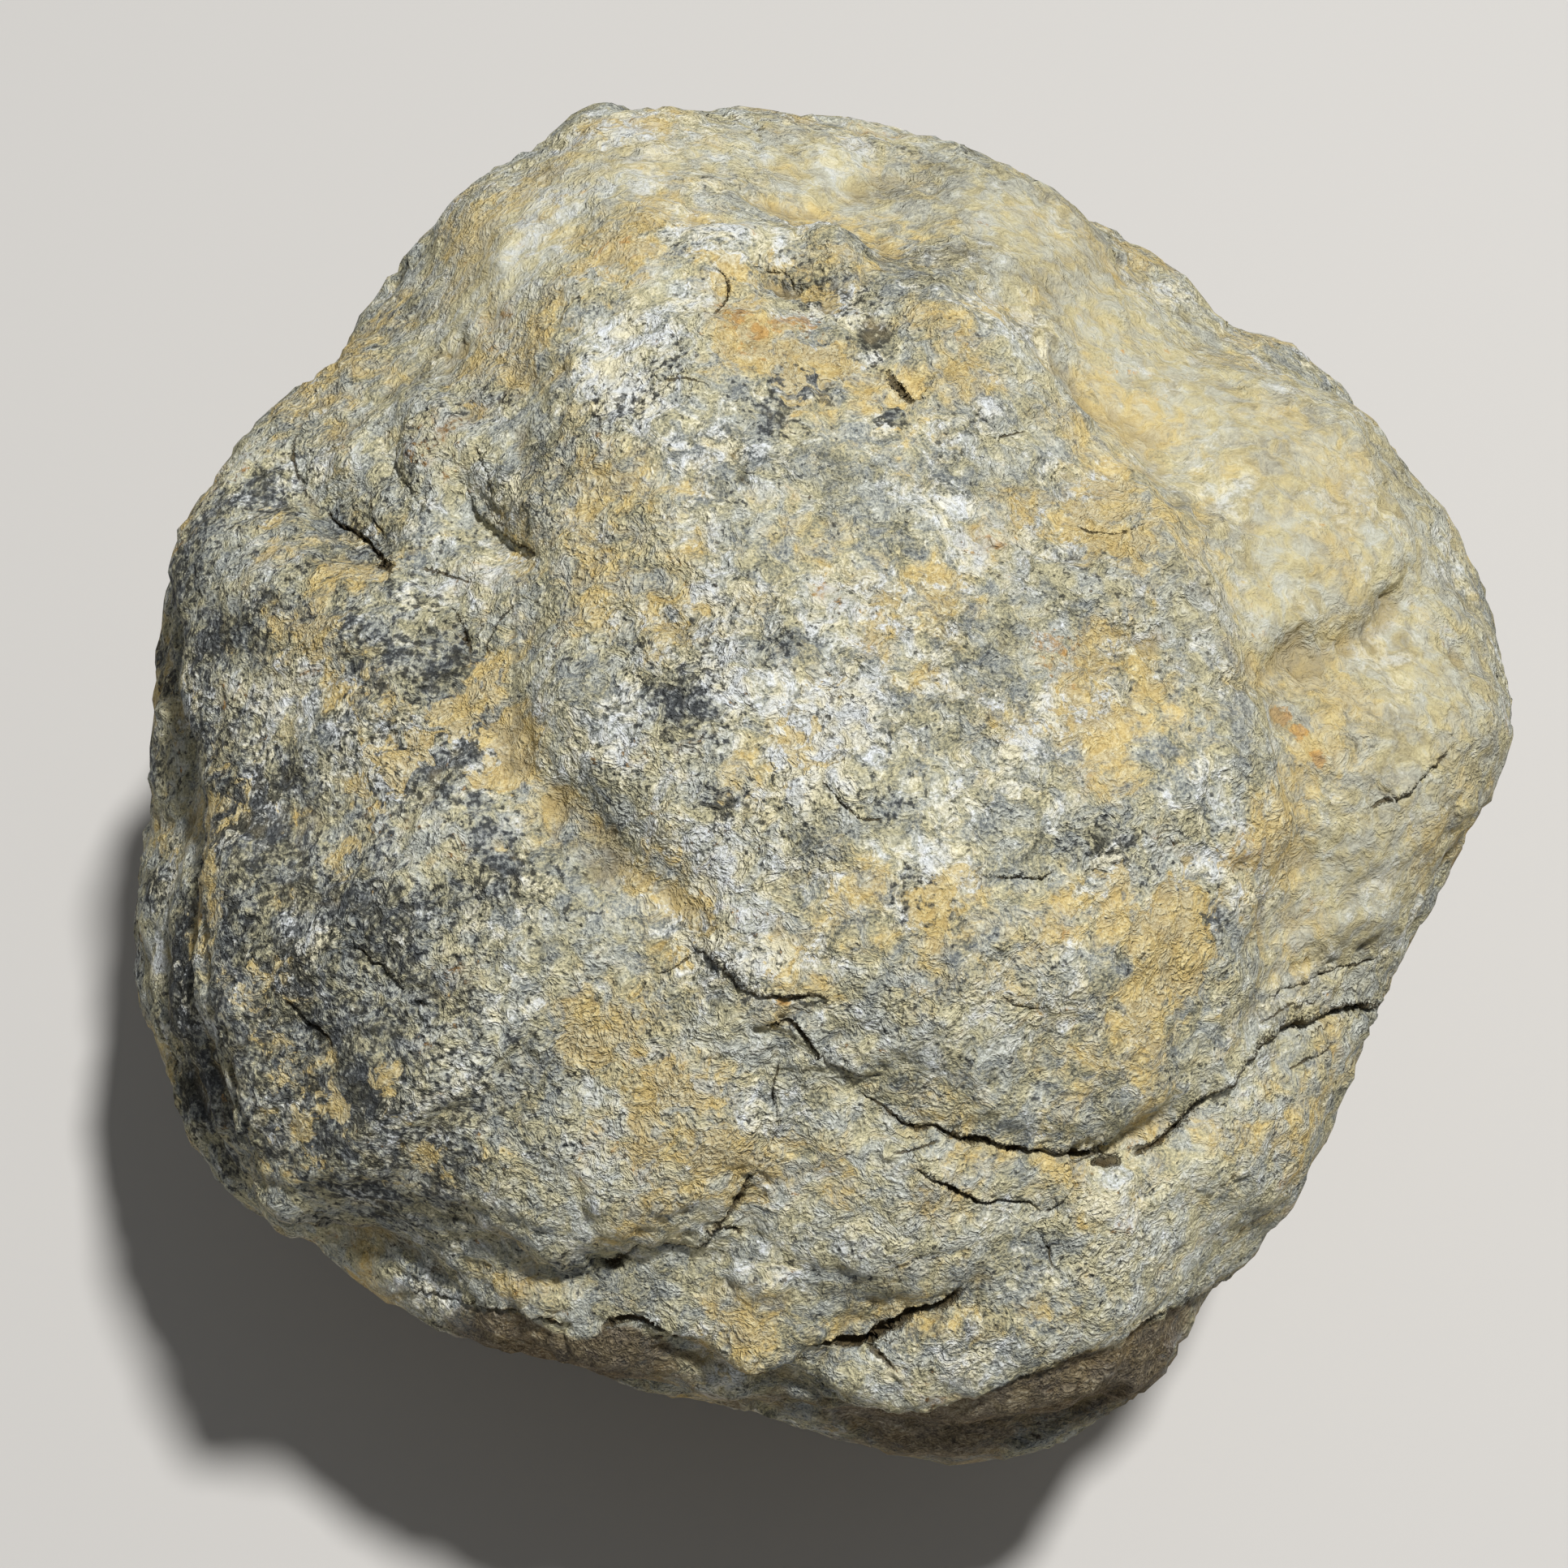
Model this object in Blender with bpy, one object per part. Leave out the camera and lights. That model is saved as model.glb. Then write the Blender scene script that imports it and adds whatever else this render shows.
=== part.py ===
"""A whole, uncut quartz geode: one lumpy stone of broad lobes with folds and seams between them.

It is modelled in metres, +Z up, standing on the small flat spot on its underside, with the
middle of its box over the origin. The body is an egg-like solid whose radius grows over each
lobe, sinks along each seam and steps down where one fold hangs over the next.
"""

import math

import bmesh
import bpy
import numpy as np
from mathutils import noise

NAME = "geode"
MM = 0.001

# Driving sizes: the plain body, the height its lobes have on average, the cut of the flat spot.
BODY_HALF_SIZES = np.array((0.0555, 0.0570, 0.0375))
LOBES_MEAN_HEIGHT = 0.0042
FLAT_SPOT_CUT = 0.0020

# The lobes and seams that show from the front and above are placed as an eye there sees them:
# in millimetres right and up of the stone's middle, on the plane through it that faces the eye.
EYE_RISE = math.radians(67)
EYE_DISTANCE = 0.2667
EYE_RIGHT = -0.0029
RIGHT = np.array((1.0, 0.0, 0.0))
UP = np.array((0.0, math.sin(EYE_RISE), math.cos(EYE_RISE)))
TOWARD = np.array((0.0, -math.cos(EYE_RISE), math.sin(EYE_RISE)))
EYE = RIGHT * EYE_RIGHT + TOWARD * EYE_DISTANCE

# The outline seen by that eye, clockwise from the top left corner.
OUTLINE = (
    (-19.5, 55.8), (-10, 56.2), (0, 55.0), (7, 53.8), (16, 51.2), (20, 48.8), (24, 45.0),
    (33, 38.5), (36, 37.7), (40, 35.5), (46, 30.0), (52, 20.5), (56, 12.5), (56.8, 6.5),
    (54.8, -1.5), (50, -10), (46, -17), (43.5, -24), (40, -31.0), (34, -39.5), (30, -46.0),
    (20, -53.5), (12.5, -55.5), (3, -53.5), (-9, -50.0), (-21, -46.7), (-32, -44.0),
    (-39, -39.0), (-46.5, -35.0), (-52, -26.5), (-56.2, -17), (-56.3, -9), (-54.6, -2),
    (-55.0, 5), (-54.4, 12), (-51.5, 22.5), (-46.0, 31.0), (-39.5, 35.0), (-34.5, 42.0),
    (-30, 48.5), (-24, 52.2),
)

# Lobes: where each one's spine starts and ends, its radius and how far it stands proud.
LOBES = {
    "crown": ((-4, 28), (12, 6), 38, 8.0),
    "crown_left": ((-14, 16), (-8, 6), 20, 6.6),
    "crown_back": ((-12, 40), (4, 34), 24, 6.8),
    "brow": ((10, -6), (22, -11), 23, 8.2),
    "cheek": ((46, -5), (47, 2), 19, 5.8),
    "wing": ((36, 24), (46, 18), 22, 5.6),
    "back_shoulder": ((16, 46), (30, 34), 20, 5.0),
    "back_ridge": ((-14, 54), (2, 54), 16, 5.4),
    "back_left": ((-30, 46), (-22, 38), 18, 5.6),
    "nodule": ((-32, 29), (-28, 25), 10, 6.6),
    "left_knob": ((-42, 30), (-44, 26), 12, 6.0),
    "left_upper": ((-44, 14), (-36, 8), 17, 6.4),
    "left_lobe": ((-42, -8), (-26, -8), 24, 7.0),
    "left_low": ((-40, -26), (-30, -24), 19, 6.6),
    "front_left": ((-16, -28), (-10, -24), 17, 6.2),
    "front_middle": ((-1, -36), (9, -36), 16, 5.4),
    "front_right": ((26, -36), (36, -28), 16, 5.4),
    "right_foot": ((44, -18), (42, -24), 13, 4.6),
    "left_lip": ((-56, 13), (-57, -14), 8, 3.4),
    "left_lip_low": ((-56, -18), (-49, -32), 8, 3.4),
    "ledge_left": ((-40, -38), (-20, -43), 9, 5.4),
    "ledge_middle": ((-16, -43), (-4, -46), 9, 5.4),
    "ledge_right": ((3, -48), (16, -48), 11, 6.4),
    "ledge_end": ((22, -46), (32, -42), 11, 5.4),
    "foot_front": ((4, -56), (20, -54), 10, 4.8),
}
LOBE_STEEPNESS = 0.85
LOBE_BLEND = 6

# Seams: the depth and width of the groove, how far the side on the left of the way along it
# stands above the other side, and the points that the seam runs through.
SEAMS = {
    "under_brow": (1.9, 1.8, 1.8, ((-5, -19), (-1, -20.5), (1.5, -23), (5, -26), (9.5, -27.5),
                                   (14, -28.8), (20, -29.2), (26, -28.9), (29.5, -26.5), (33, -24),
                                   (36.5, -21.5), (41, -18.4), (46, -17))),
    "crown_front": (1.8, 1.9, 1.2, ((-14, -12.4), (-9, -13.4), (-7, -15), (-4.5, -16.4),
                                    (-0.5, -17.2), (3, -18))),
    "crown_left_low": (1.4, 3.2, 0.9, ((-23.5, 17), (-24, 10), (-24, 4), (-21, 0.7), (-18, -2.3),
                                       (-15.4, -5.8), (-12.5, -8), (-9.5, -12))),
    "left_edge": (2.6, 1.7, 0.8, ((-51.2, 22), (-51.9, 12), (-51.7, 3), (-51.6, -4), (-51.2, -11.6),
                                  (-50, -18), (-48.6, -23), (-47, -27), (-46, -31), (-43.5, -34.5),
                                  (-40, -36.5), (-35, -38.3), (-31, -39.9), (-27, -41.6))),
    "lip_fold": (1.2, 1.5, 0.6, ((-55.2, -16.5), (-53.6, -20.5), (-51.8, -24.5))),
    "nodule_right": (2.0, 1.9, 1.4, ((-23.2, 15.8), (-23.2, 19.2), (-24.8, 20), (-26.6, 21.1),
                                     (-28.4, 23.2), (-29.5, 26))),
    "nodule_left": (1.4, 1.8, 0.8, ((-32, 22.6), (-33.7, 25.2), (-34.2, 28.2), (-34.2, 32))),
    "knob_fold": (1.6, 1.8, 1.2, ((-33.5, 17.6), (-36, 19.7), (-38.2, 21.5), (-40, 23.3),
                                  (-42.2, 25.3), (-42.9, 28))),
    "hollow": (1.4, 3.2, 0.0, ((-32, 17), (-29, 15), (-27.5, 12), (-26, 7.5), (-24, 5))),
    "front_fold": (1.5, 2.0, 0.9, ((-30, -34), (-26.5, -35.8), (-23, -37.9), (-19, -38.3),
                                   (-14.7, -37), (-10.3, -37.2), (-6.5, -35.8), (-4.5, -32),
                                   (-3.5, -27), (-4, -22))),
    "front_crease": (1.8, 1.9, -1.0, ((10, -41.6), (6.5, -43), (3.3, -43.9), (0, -45.8), (-4, -47.3),
                                      (-10, -44.6), (-16.5, -43.7))),
    "front_branch": (1.0, 1.8, 0.5, ((25, -30), (20.3, -31.3), (17.8, -33.6), (19.2, -38.5))),
    "right_valley": (1.6, 2.6, 0.8, ((33.8, 11), (36.3, 9.5), (38.8, 10.6), (42, 11.2), (44.5, 12.6),
                                     (46.5, 14.7), (50, 16.8))),
    "crown_right_edge": (1.2, 3.4, -1.0, ((-9, 49), (-2, 47.5), (5.3, 44.2), (9.3, 41.5), (14.2, 38),
                                          (19, 34.2), (24, 30.2), (28.2, 26.5), (31, 22.5),
                                          (33.8, 17), (35.8, 12), (37.4, 6), (37.8, 0), (37.4, -6),
                                          (35.5, -12), (34.5, -17))),
    "left_dent": (1.2, 1.6, 0.5, ((-32, -17.8), (-35.5, -14.4), (-38.5, -12.2))),
    "left_dent_low": (1.0, 1.5, 0.4, ((-40.3, -20.4), (-43.3, -17.7))),
    "cheek_fold": (0.7, 1.8, 0.5, ((41, -14.4), (45, -12.8), (48, -11))),
}
SEAM_REACH = 8.0
SEAM_TAPER = 5.0
# The rough pitted hollow near the back of the crown, and a pit in the right end.
PITS = (((-8, 43), 2.4, 1.2), ((-4, 42.6), 2.6, 1.3), ((-1, 39.5), 2.6, 1.1), ((5, 38.5), 2.4, 0.9),
        ((51.5, 11.5), 2.0, 1.0))

# Lobes on the sides that don't show: how many are spread round the stone, and their sizes.
HIDDEN_LOBES = 40
HIDDEN_LOBE_LENGTH = 12.0
HIDDEN_LOBE_RADIUS = (15.0, 23.0)
HIDDEN_LOBE_HEIGHT = (4.4, 6.6)
HIDDEN_FROM_EYE = -0.10
GOLDEN_ANGLE = math.pi * (3 - math.sqrt(5))
SEED = 11

# Uneven growth: the height and the size of the swells, and how far lobes and seams stray.
SWELLS = ((1.0, 17.0), (0.5, 7.0), (0.25, 3.2))
STRAY = (1.0, 6.0)

# The flat spot is on a broad smooth swell, which reaches out to this angle from straight down.
UNDERSIDE_SMOOTH = math.radians(36)
UNDERSIDE_RISE = 0.0015
OUTLINE_BINS = 180
OUTLINE_ROUNDS = 6
OUTLINE_EASE = np.array((0.25, 0.5, 0.25))
BALL_LEVEL = 7
TRIANGLES = 9400

STONE_COLOUR = (0.42, 0.36, 0.23, 1.0)
STONE_ROUGHNESS = 0.92


def clear_scene():
    for obj in list(bpy.data.objects):
        bpy.data.objects.remove(obj)


def make_ball():
    """A fine ball whose points are then moved out to the stone's surface."""
    mesh = bpy.data.meshes.new(NAME)
    shape = bmesh.new()
    bmesh.ops.create_icosphere(shape, subdivisions=BALL_LEVEL, radius=1.0)
    shape.to_mesh(mesh)
    shape.free()
    return mesh


def ball_directions(ball):
    directions = np.empty(len(ball.vertices) * 3)
    ball.vertices.foreach_get("co", directions)
    directions = directions.reshape(-1, 3)
    return directions / np.linalg.norm(directions, axis=1)[:, None]


def body_radius(directions):
    """The plain body's radius along each direction: an ellipsoid."""
    return 1 / np.linalg.norm(directions / BODY_HALF_SIZES, axis=1)


def seen_by_eye(points):
    """Right and up of each point, on the plane through the stone's middle that faces the eye."""
    from_eye = points - EYE
    reach = EYE_DISTANCE / (from_eye @ -TOWARD)
    seen = EYE + from_eye * reach[:, None]
    return seen @ RIGHT, seen @ UP


def outline_radius(turns):
    """The outline's distance from the stone's middle at each turn from the right."""
    places = np.array(OUTLINE) * MM
    angles = np.arctan2(places[:, 1], places[:, 0])
    order = np.argsort(angles)
    return np.interp(turns, angles[order], np.hypot(*places[order].T), period=2 * math.pi)


def outline_growth(directions, radius):
    """How much bigger the outline should be than the one the eye sees, at even turns."""
    right, up = seen_by_eye(directions * radius[:, None])
    share = (np.arctan2(up, right) + math.pi) / (2 * math.pi)
    seen = np.zeros(OUTLINE_BINS)
    np.maximum.at(seen, (share * OUTLINE_BINS).astype(int) % OUTLINE_BINS, np.hypot(right, up))
    turns = (np.arange(OUTLINE_BINS) + 0.5) / OUTLINE_BINS * 2 * math.pi - math.pi
    growth = outline_radius(turns) / seen
    eased = sum(np.roll(growth, shift) * part for shift, part in zip((-1, 0, 1), OUTLINE_EASE))
    return turns, eased


def fit_outline(directions, radius):
    """The radius, scaled round the line of sight until the outline is as the eye sees it."""
    across = directions @ RIGHT
    above = directions @ UP
    sideways = across**2 + above**2
    for _ in range(OUTLINE_ROUNDS):
        turns, growth = outline_growth(directions, radius)
        here = np.interp(np.arctan2(above, across), turns, growth, period=2 * math.pi)
        radius = radius * (1 + (here - 1) * sideways)
    return radius


def on_body(places, plain_growth):
    """Where the eye sees these places, in millimetres right and up, on the plain body.

    The body's own outline is a plain oval, so each place is first moved in or out by as much
    as the outline is. A place past the body's edge goes to the body's nearest side."""
    turns, growth = plain_growth
    found = []
    for right, up in places:
        turn = math.atan2(up, right)
        edge_share = math.hypot(right, up) * MM / outline_radius(turn)
        growth_here = np.interp(turn, turns, growth, period=2 * math.pi)
        shrink = 1 / (1 + (growth_here - 1) * edge_share**2)
        target = (RIGHT * right + UP * up) * MM * shrink
        ray = (target - EYE) / np.linalg.norm(target - EYE)
        start, along = EYE / BODY_HALF_SIZES, ray / BODY_HALF_SIZES
        a, b, c = along @ along, start @ along, start @ start - 1
        reach = (-b - math.sqrt(max(b * b - a * c, 0))) / a
        direction = (EYE + ray * reach) / np.linalg.norm(EYE + ray * reach)
        found.append(direction * body_radius(direction[None])[0])
    return np.array(found)


def nearest_on_route(points, route):
    """How far each point is from the route, how far to the left of it, and how far along it."""
    nearest = np.full(len(points), np.inf)
    left = np.zeros(len(points))
    along = np.zeros(len(points))
    outward = points / np.linalg.norm(points, axis=1)[:, None]
    done = 0.0
    for start, end in zip(route[:-1], route[1:]):
        length = max(np.linalg.norm(end - start), 1e-9)
        way = (end - start) / length
        reached = np.clip((points - start) @ way, 0, length)
        offset = points - start - reached[:, None] * way
        gap = np.linalg.norm(offset, axis=1)
        closer = gap < nearest
        nearest = np.where(closer, gap, nearest)
        left = np.where(closer, np.sum(np.cross(way, offset) * outward, axis=1), left)
        along = np.where(closer, done + reached, along)
        done += length
    return nearest, left, np.minimum(along, done - along)


def noise_at(points, size_mm, offset):
    """Smooth noise from -1 to 1 whose swells are about size_mm across."""
    scaled = points / (size_mm * MM) + offset
    return np.array([noise.noise(p) for p in scaled])


def strayed(points):
    """The points moved a little, so that what is measured from them is less regular."""
    height, size = STRAY
    moves = [noise_at(points, size, offset) for offset in (3.7, 19.1, 41.3)]
    return points + np.stack(moves, axis=1) * height * MM


def lobe_swell(points, spine, radius_mm, height_mm):
    share = nearest_on_route(points, spine)[0] / (radius_mm * MM)
    return height_mm * MM * np.clip(1 - share**2, 0, None) ** LOBE_STEEPNESS


def hidden_lobes():
    """Spines and sizes of the lobes that the eye can't see, spread evenly round the stone."""
    rng = np.random.default_rng(SEED)
    for i in range(HIDDEN_LOBES):
        level = 1 - 2 * (i + 0.5) / HIDDEN_LOBES
        turn = i * GOLDEN_ANGLE + rng.uniform(-0.3, 0.3)
        flat = math.sqrt(1 - level * level)
        direction = np.array((flat * math.cos(turn), flat * math.sin(turn), level))
        lean = np.cross(direction, rng.normal(size=3))
        lean *= HIDDEN_LOBE_LENGTH * MM / 2 / np.linalg.norm(lean)
        radius = rng.uniform(*HIDDEN_LOBE_RADIUS)
        height = rng.uniform(*HIDDEN_LOBE_HEIGHT)
        if direction @ TOWARD < HIDDEN_FROM_EYE:
            point = direction * body_radius(direction[None])[0]
            yield np.array((point - lean, point + lean)), radius, height


def lobe_heights(points, plain_growth):
    """How far the lobes raise each point: the tallest there, with the creases a little rounded."""
    total = np.zeros(len(points))
    for start, end, radius, height in LOBES.values():
        total += lobe_swell(points, on_body((start, end), plain_growth), radius, height) ** LOBE_BLEND
    for spine, radius, height in hidden_lobes():
        total += lobe_swell(points, spine, radius, height) ** LOBE_BLEND
    return total ** (1 / LOBE_BLEND)


def seam_heights(points, plain_growth):
    """How far the seams, their steps and the pits raise or sink each point."""
    grooves = np.zeros(len(points))
    steps = np.zeros(len(points))
    for depth, width, step, places in SEAMS.values():
        away, left, from_end = nearest_on_route(points, on_body(places, plain_growth))
        taper = np.clip(from_end / (SEAM_TAPER * MM), 0.25, 1)
        grooves = np.maximum(grooves, depth * MM * taper * np.exp(-((away / (width * MM)) ** 2)))
        steps += step * MM / 2 * np.tanh(left / (width * MM)) * np.exp(-((away / (SEAM_REACH * MM)) ** 2))
    for place, radius, depth in PITS:
        away = np.linalg.norm(points - on_body((place,), plain_growth), axis=1)
        grooves = np.maximum(grooves, depth * MM * np.exp(-((away / (radius * MM)) ** 2)))
    return steps - grooves


def underside_share(directions):
    """0 on the flat spot's surroundings and 1 away from them."""
    angle = np.arccos(np.clip(-directions[:, 2], -1, 1))
    share = np.clip(angle / UNDERSIDE_SMOOTH, 0, 1)
    return share * share * (3 - 2 * share)


def stone_radius(directions):
    radius = body_radius(directions)
    plain_growth = outline_growth(directions, radius)
    points = directions * radius[:, None]
    moved = strayed(points)
    relief = lobe_heights(moved, plain_growth) - LOBES_MEAN_HEIGHT + seam_heights(moved, plain_growth)
    for index, (height, size) in enumerate(SWELLS):
        relief += noise_at(points, size, 7.3 * (index + 1)) * height * MM
    share = underside_share(directions)
    return radius + relief * share + UNDERSIDE_RISE * (1 - share)


def thinned(mesh):
    """The mesh with its triangles kept where the stone bends most."""
    helper = bpy.data.objects.new(NAME + "_fine", mesh)
    bpy.context.scene.collection.objects.link(helper)
    decimate = helper.modifiers.new("Thin", "DECIMATE")
    decimate.ratio = TRIANGLES / len(mesh.polygons)
    graph = bpy.context.evaluated_depsgraph_get()
    thin = bpy.data.meshes.new_from_object(helper.evaluated_get(graph))
    bpy.data.objects.remove(helper)
    return thin


def cut_flat_spot(mesh):
    """Cuts the underside flat."""
    shape = bmesh.new()
    shape.from_mesh(mesh)
    cut_height = min(v.co.z for v in shape.verts) + FLAT_SPOT_CUT
    everything = shape.verts[:] + shape.edges[:] + shape.faces[:]
    cut = bmesh.ops.bisect_plane(shape, geom=everything, plane_co=(0, 0, cut_height),
                                 plane_no=(0, 0, -1), clear_outer=True)
    rim = [g for g in cut["geom_cut"] if isinstance(g, bmesh.types.BMEdge)]
    bmesh.ops.holes_fill(shape, edges=rim)
    bmesh.ops.recalc_face_normals(shape, faces=shape.faces)
    shape.to_mesh(mesh)
    shape.free()


def standing_place(mesh):
    """Where the stone's middle goes to stand it on the flat spot, with its box over the origin."""
    lows, highs = [[f(v.co[axis] for v in mesh.vertices) for axis in range(3)] for f in (min, max)]
    return (-(lows[0] + highs[0]) / 2, -(lows[1] + highs[1]) / 2, -lows[2])


def stone_material():
    material = bpy.data.materials.new("weathered_stone")
    material.use_nodes = True
    surface = material.node_tree.nodes["Principled BSDF"]
    surface.inputs["Base Color"].default_value = STONE_COLOUR
    surface.inputs["Roughness"].default_value = STONE_ROUGHNESS
    surface.inputs["Metallic"].default_value = 0.0
    return material


def make_stone():
    ball = make_ball()
    directions = ball_directions(ball)
    radius = fit_outline(directions, stone_radius(directions))
    ball.vertices.foreach_set("co", (directions * radius[:, None]).ravel())
    stone_mesh = thinned(ball)
    cut_flat_spot(stone_mesh)
    stone_mesh.shade_smooth()
    stone_mesh.materials.clear()
    stone_mesh.materials.append(stone_material())
    stone = bpy.data.objects.new(NAME, stone_mesh)
    stone.location = standing_place(stone_mesh)
    collection = bpy.data.collections.new("quartz_geode")
    bpy.context.scene.collection.children.link(collection)
    collection.objects.link(stone)


clear_scene()
make_stone()
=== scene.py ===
import math

import bmesh
import bpy
import numpy as np
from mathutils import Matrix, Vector, noise
from mathutils.bvhtree import BVHTree
from mathutils.kdtree import KDTree


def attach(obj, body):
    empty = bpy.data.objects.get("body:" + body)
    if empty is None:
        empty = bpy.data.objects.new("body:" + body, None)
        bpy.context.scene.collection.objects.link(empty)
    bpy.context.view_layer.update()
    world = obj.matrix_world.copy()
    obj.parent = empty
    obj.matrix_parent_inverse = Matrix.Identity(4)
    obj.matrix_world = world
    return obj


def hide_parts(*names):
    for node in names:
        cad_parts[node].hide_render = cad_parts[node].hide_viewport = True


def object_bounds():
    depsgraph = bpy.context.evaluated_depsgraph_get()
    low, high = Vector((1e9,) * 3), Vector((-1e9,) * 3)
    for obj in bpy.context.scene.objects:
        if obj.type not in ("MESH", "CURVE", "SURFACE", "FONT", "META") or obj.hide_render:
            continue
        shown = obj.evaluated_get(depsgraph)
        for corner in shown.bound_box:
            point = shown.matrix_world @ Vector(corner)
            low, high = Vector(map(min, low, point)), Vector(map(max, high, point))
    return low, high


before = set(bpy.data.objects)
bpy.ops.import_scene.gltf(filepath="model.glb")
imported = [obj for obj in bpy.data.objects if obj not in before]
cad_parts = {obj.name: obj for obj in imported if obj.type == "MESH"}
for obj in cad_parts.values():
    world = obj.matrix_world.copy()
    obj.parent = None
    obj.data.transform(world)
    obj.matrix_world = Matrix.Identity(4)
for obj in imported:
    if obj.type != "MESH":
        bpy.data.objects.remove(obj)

MM = 0.001
cad_box = [list(corner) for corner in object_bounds()]


# The eye
# A phone held close above the front of the stone, looking steeply down at its middle.
# A place on the stone is given as this eye sees it: millimetres right and up of the middle.
EYE_RISE = math.radians(67)
EYE_DISTANCE = 0.2667
EYE_RIGHT = -0.0029
EYE_LIFT = 0.00027
FOCAL_LENGTH_PIXELS = 4000
PICTURE_PIXELS = 1932
SENSOR_WIDTH = 36
NEAREST_SEEN = 0.01
STONE_MIDDLE = Vector((0.0009, -0.0029, 0.0368))
RIGHT = Vector((1, 0, 0))
UP = Vector((0, math.sin(EYE_RISE), math.cos(EYE_RISE)))
TOWARD = Vector((0, -math.cos(EYE_RISE), math.sin(EYE_RISE)))
EYE = STONE_MIDDLE + RIGHT * EYE_RIGHT + UP * EYE_LIFT + TOWARD * EYE_DISTANCE

eye_data = bpy.data.cameras.new("eye")
eye_data.sensor_width = SENSOR_WIDTH
eye_data.lens = FOCAL_LENGTH_PIXELS / PICTURE_PIXELS * SENSOR_WIDTH
eye_data.clip_start = NEAREST_SEEN
eye = bpy.data.objects.new("eye", eye_data)
eye.location = EYE
eye.rotation_euler = (math.pi / 2 - EYE_RISE, 0, 0)
bpy.context.scene.collection.objects.link(eye)
bpy.context.scene.camera = eye


# The light and the floor
# One soft lamp high above, a little to the right and behind, and a pale room all round.
# The floor is a plain pale matt board.
LAMP_DIRECTION = Vector((0.22, 0.12, 1.0)).normalized()
LAMP_DISTANCE = 0.9
LAMP_SIZE = 0.09
LAMP_POWER = 8.6
ROOM_COLOUR = (0.93, 0.96, 1.0, 1.0)
ROOM_STRENGTH = 0.15
FLOOR_HALF = 1.2
FLOOR_COLOUR = (0.62, 0.60, 0.57, 1.0)
FLOOR_ROUGHNESS = 0.8

bpy.context.scene.view_settings.view_transform = "Standard"

lamp_data = bpy.data.lights.new("lamp", "AREA")
lamp_data.shape = "DISK"
lamp_data.size = LAMP_SIZE
lamp_data.energy = LAMP_POWER
lamp = bpy.data.objects.new("lamp", lamp_data)
lamp.location = STONE_MIDDLE + LAMP_DIRECTION * LAMP_DISTANCE
lamp.rotation_euler = LAMP_DIRECTION.to_track_quat("Z", "Y").to_euler()
bpy.context.scene.collection.objects.link(lamp)

room = bpy.data.worlds.new("room")
room.use_nodes = True
room_light = room.node_tree.nodes["Background"]
room_light.inputs["Color"].default_value = ROOM_COLOUR
room_light.inputs["Strength"].default_value = ROOM_STRENGTH
bpy.context.scene.world = room


class Signal:
    """One output of a node. Sums, products and so on of signals add the Math nodes for them."""

    def __init__(self, tree, socket=None):
        self.tree = tree
        self.socket = socket

    def node(self, kind, settings, sockets, output=0):
        """Adds a node of that kind, sets it up, joins its inputs, and gives one of its outputs."""
        made = self.tree.nodes.new(kind)
        for name, value in settings.items():
            setattr(made, name, value)
        for name, value in sockets.items():
            if isinstance(value, Signal):
                self.tree.links.new(value.socket, made.inputs[name])
            else:
                made.inputs[name].default_value = value
        return Signal(self.tree, made.outputs[output])

    def maths(self, operation, *values):
        """A Math node of these values, or of this signal alone."""
        values = values or (self,)
        return self.node("ShaderNodeMath", {"operation": operation}, dict(enumerate(values)))

    def vector(self, operation, *values):
        return self.node("ShaderNodeVectorMath", {"operation": operation}, dict(enumerate(values)))

    def __add__(self, other):
        return self.maths("ADD", self, other)

    def __radd__(self, other):
        return self.maths("ADD", other, self)

    def __sub__(self, other):
        return self.maths("SUBTRACT", self, other)

    def __rsub__(self, other):
        return self.maths("SUBTRACT", other, self)

    def __mul__(self, other):
        return self.maths("MULTIPLY", self, other)

    def __rmul__(self, other):
        return self.maths("MULTIPLY", other, self)

    def __truediv__(self, other):
        return self.maths("DIVIDE", self, other)

    def __rtruediv__(self, other):
        return self.maths("DIVIDE", other, self)

    def above(self, low, high):
        """0 below low, 1 above high, and a smooth rise between."""
        sockets = {"Value": self, "From Min": low, "From Max": high}
        return self.node("ShaderNodeMapRange", {"interpolation_type": "SMOOTHSTEP"}, sockets)

    def blend(self, start, end):
        """The colour start where this is 0 and the colour end where it is 1."""
        return self.node("ShaderNodeMix", {"data_type": "RGBA"}, {0: self, 6: start, 7: end}, 2)

    def ramp(self, stops):
        """The colour for this value, from a row of (value, colour) stops."""
        ramp = self.tree.nodes.new("ShaderNodeValToRGB")
        while len(ramp.color_ramp.elements) < len(stops):
            ramp.color_ramp.elements.new(0.5)
        for element, (position, colour) in zip(ramp.color_ramp.elements, stops):
            element.position = position
            element.color = (*colour, 1)
        self.tree.links.new(self.socket, ramp.inputs[0])
        return Signal(self.tree, ramp.outputs[0])

    def scaled(self, factor):
        """This vector, longer or shorter by that factor."""
        return self.node("ShaderNodeVectorMath", {"operation": "SCALE"}, {0: self, 3: factor})

    def cloud(self, size, detail, roughness, shift=0.0, output=0):
        """Fractal noise at this place, with its coarsest lumps about that size across."""
        place = self.vector("ADD", self, (shift, -shift, shift * 0.7)) if shift else self
        sockets = {"Vector": place, "Scale": 1 / size, "Detail": detail, "Roughness": roughness}
        return self.node("ShaderNodeTexNoise", {}, sockets, output)

    def cells(self, size, feature="F1", output=0):
        """Distance to the nearest of points about that far apart, or another of its outputs."""
        return self.node("ShaderNodeTexVoronoi", {"feature": feature},
                         {"Vector": self, "Scale": 1 / size}, output)


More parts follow.
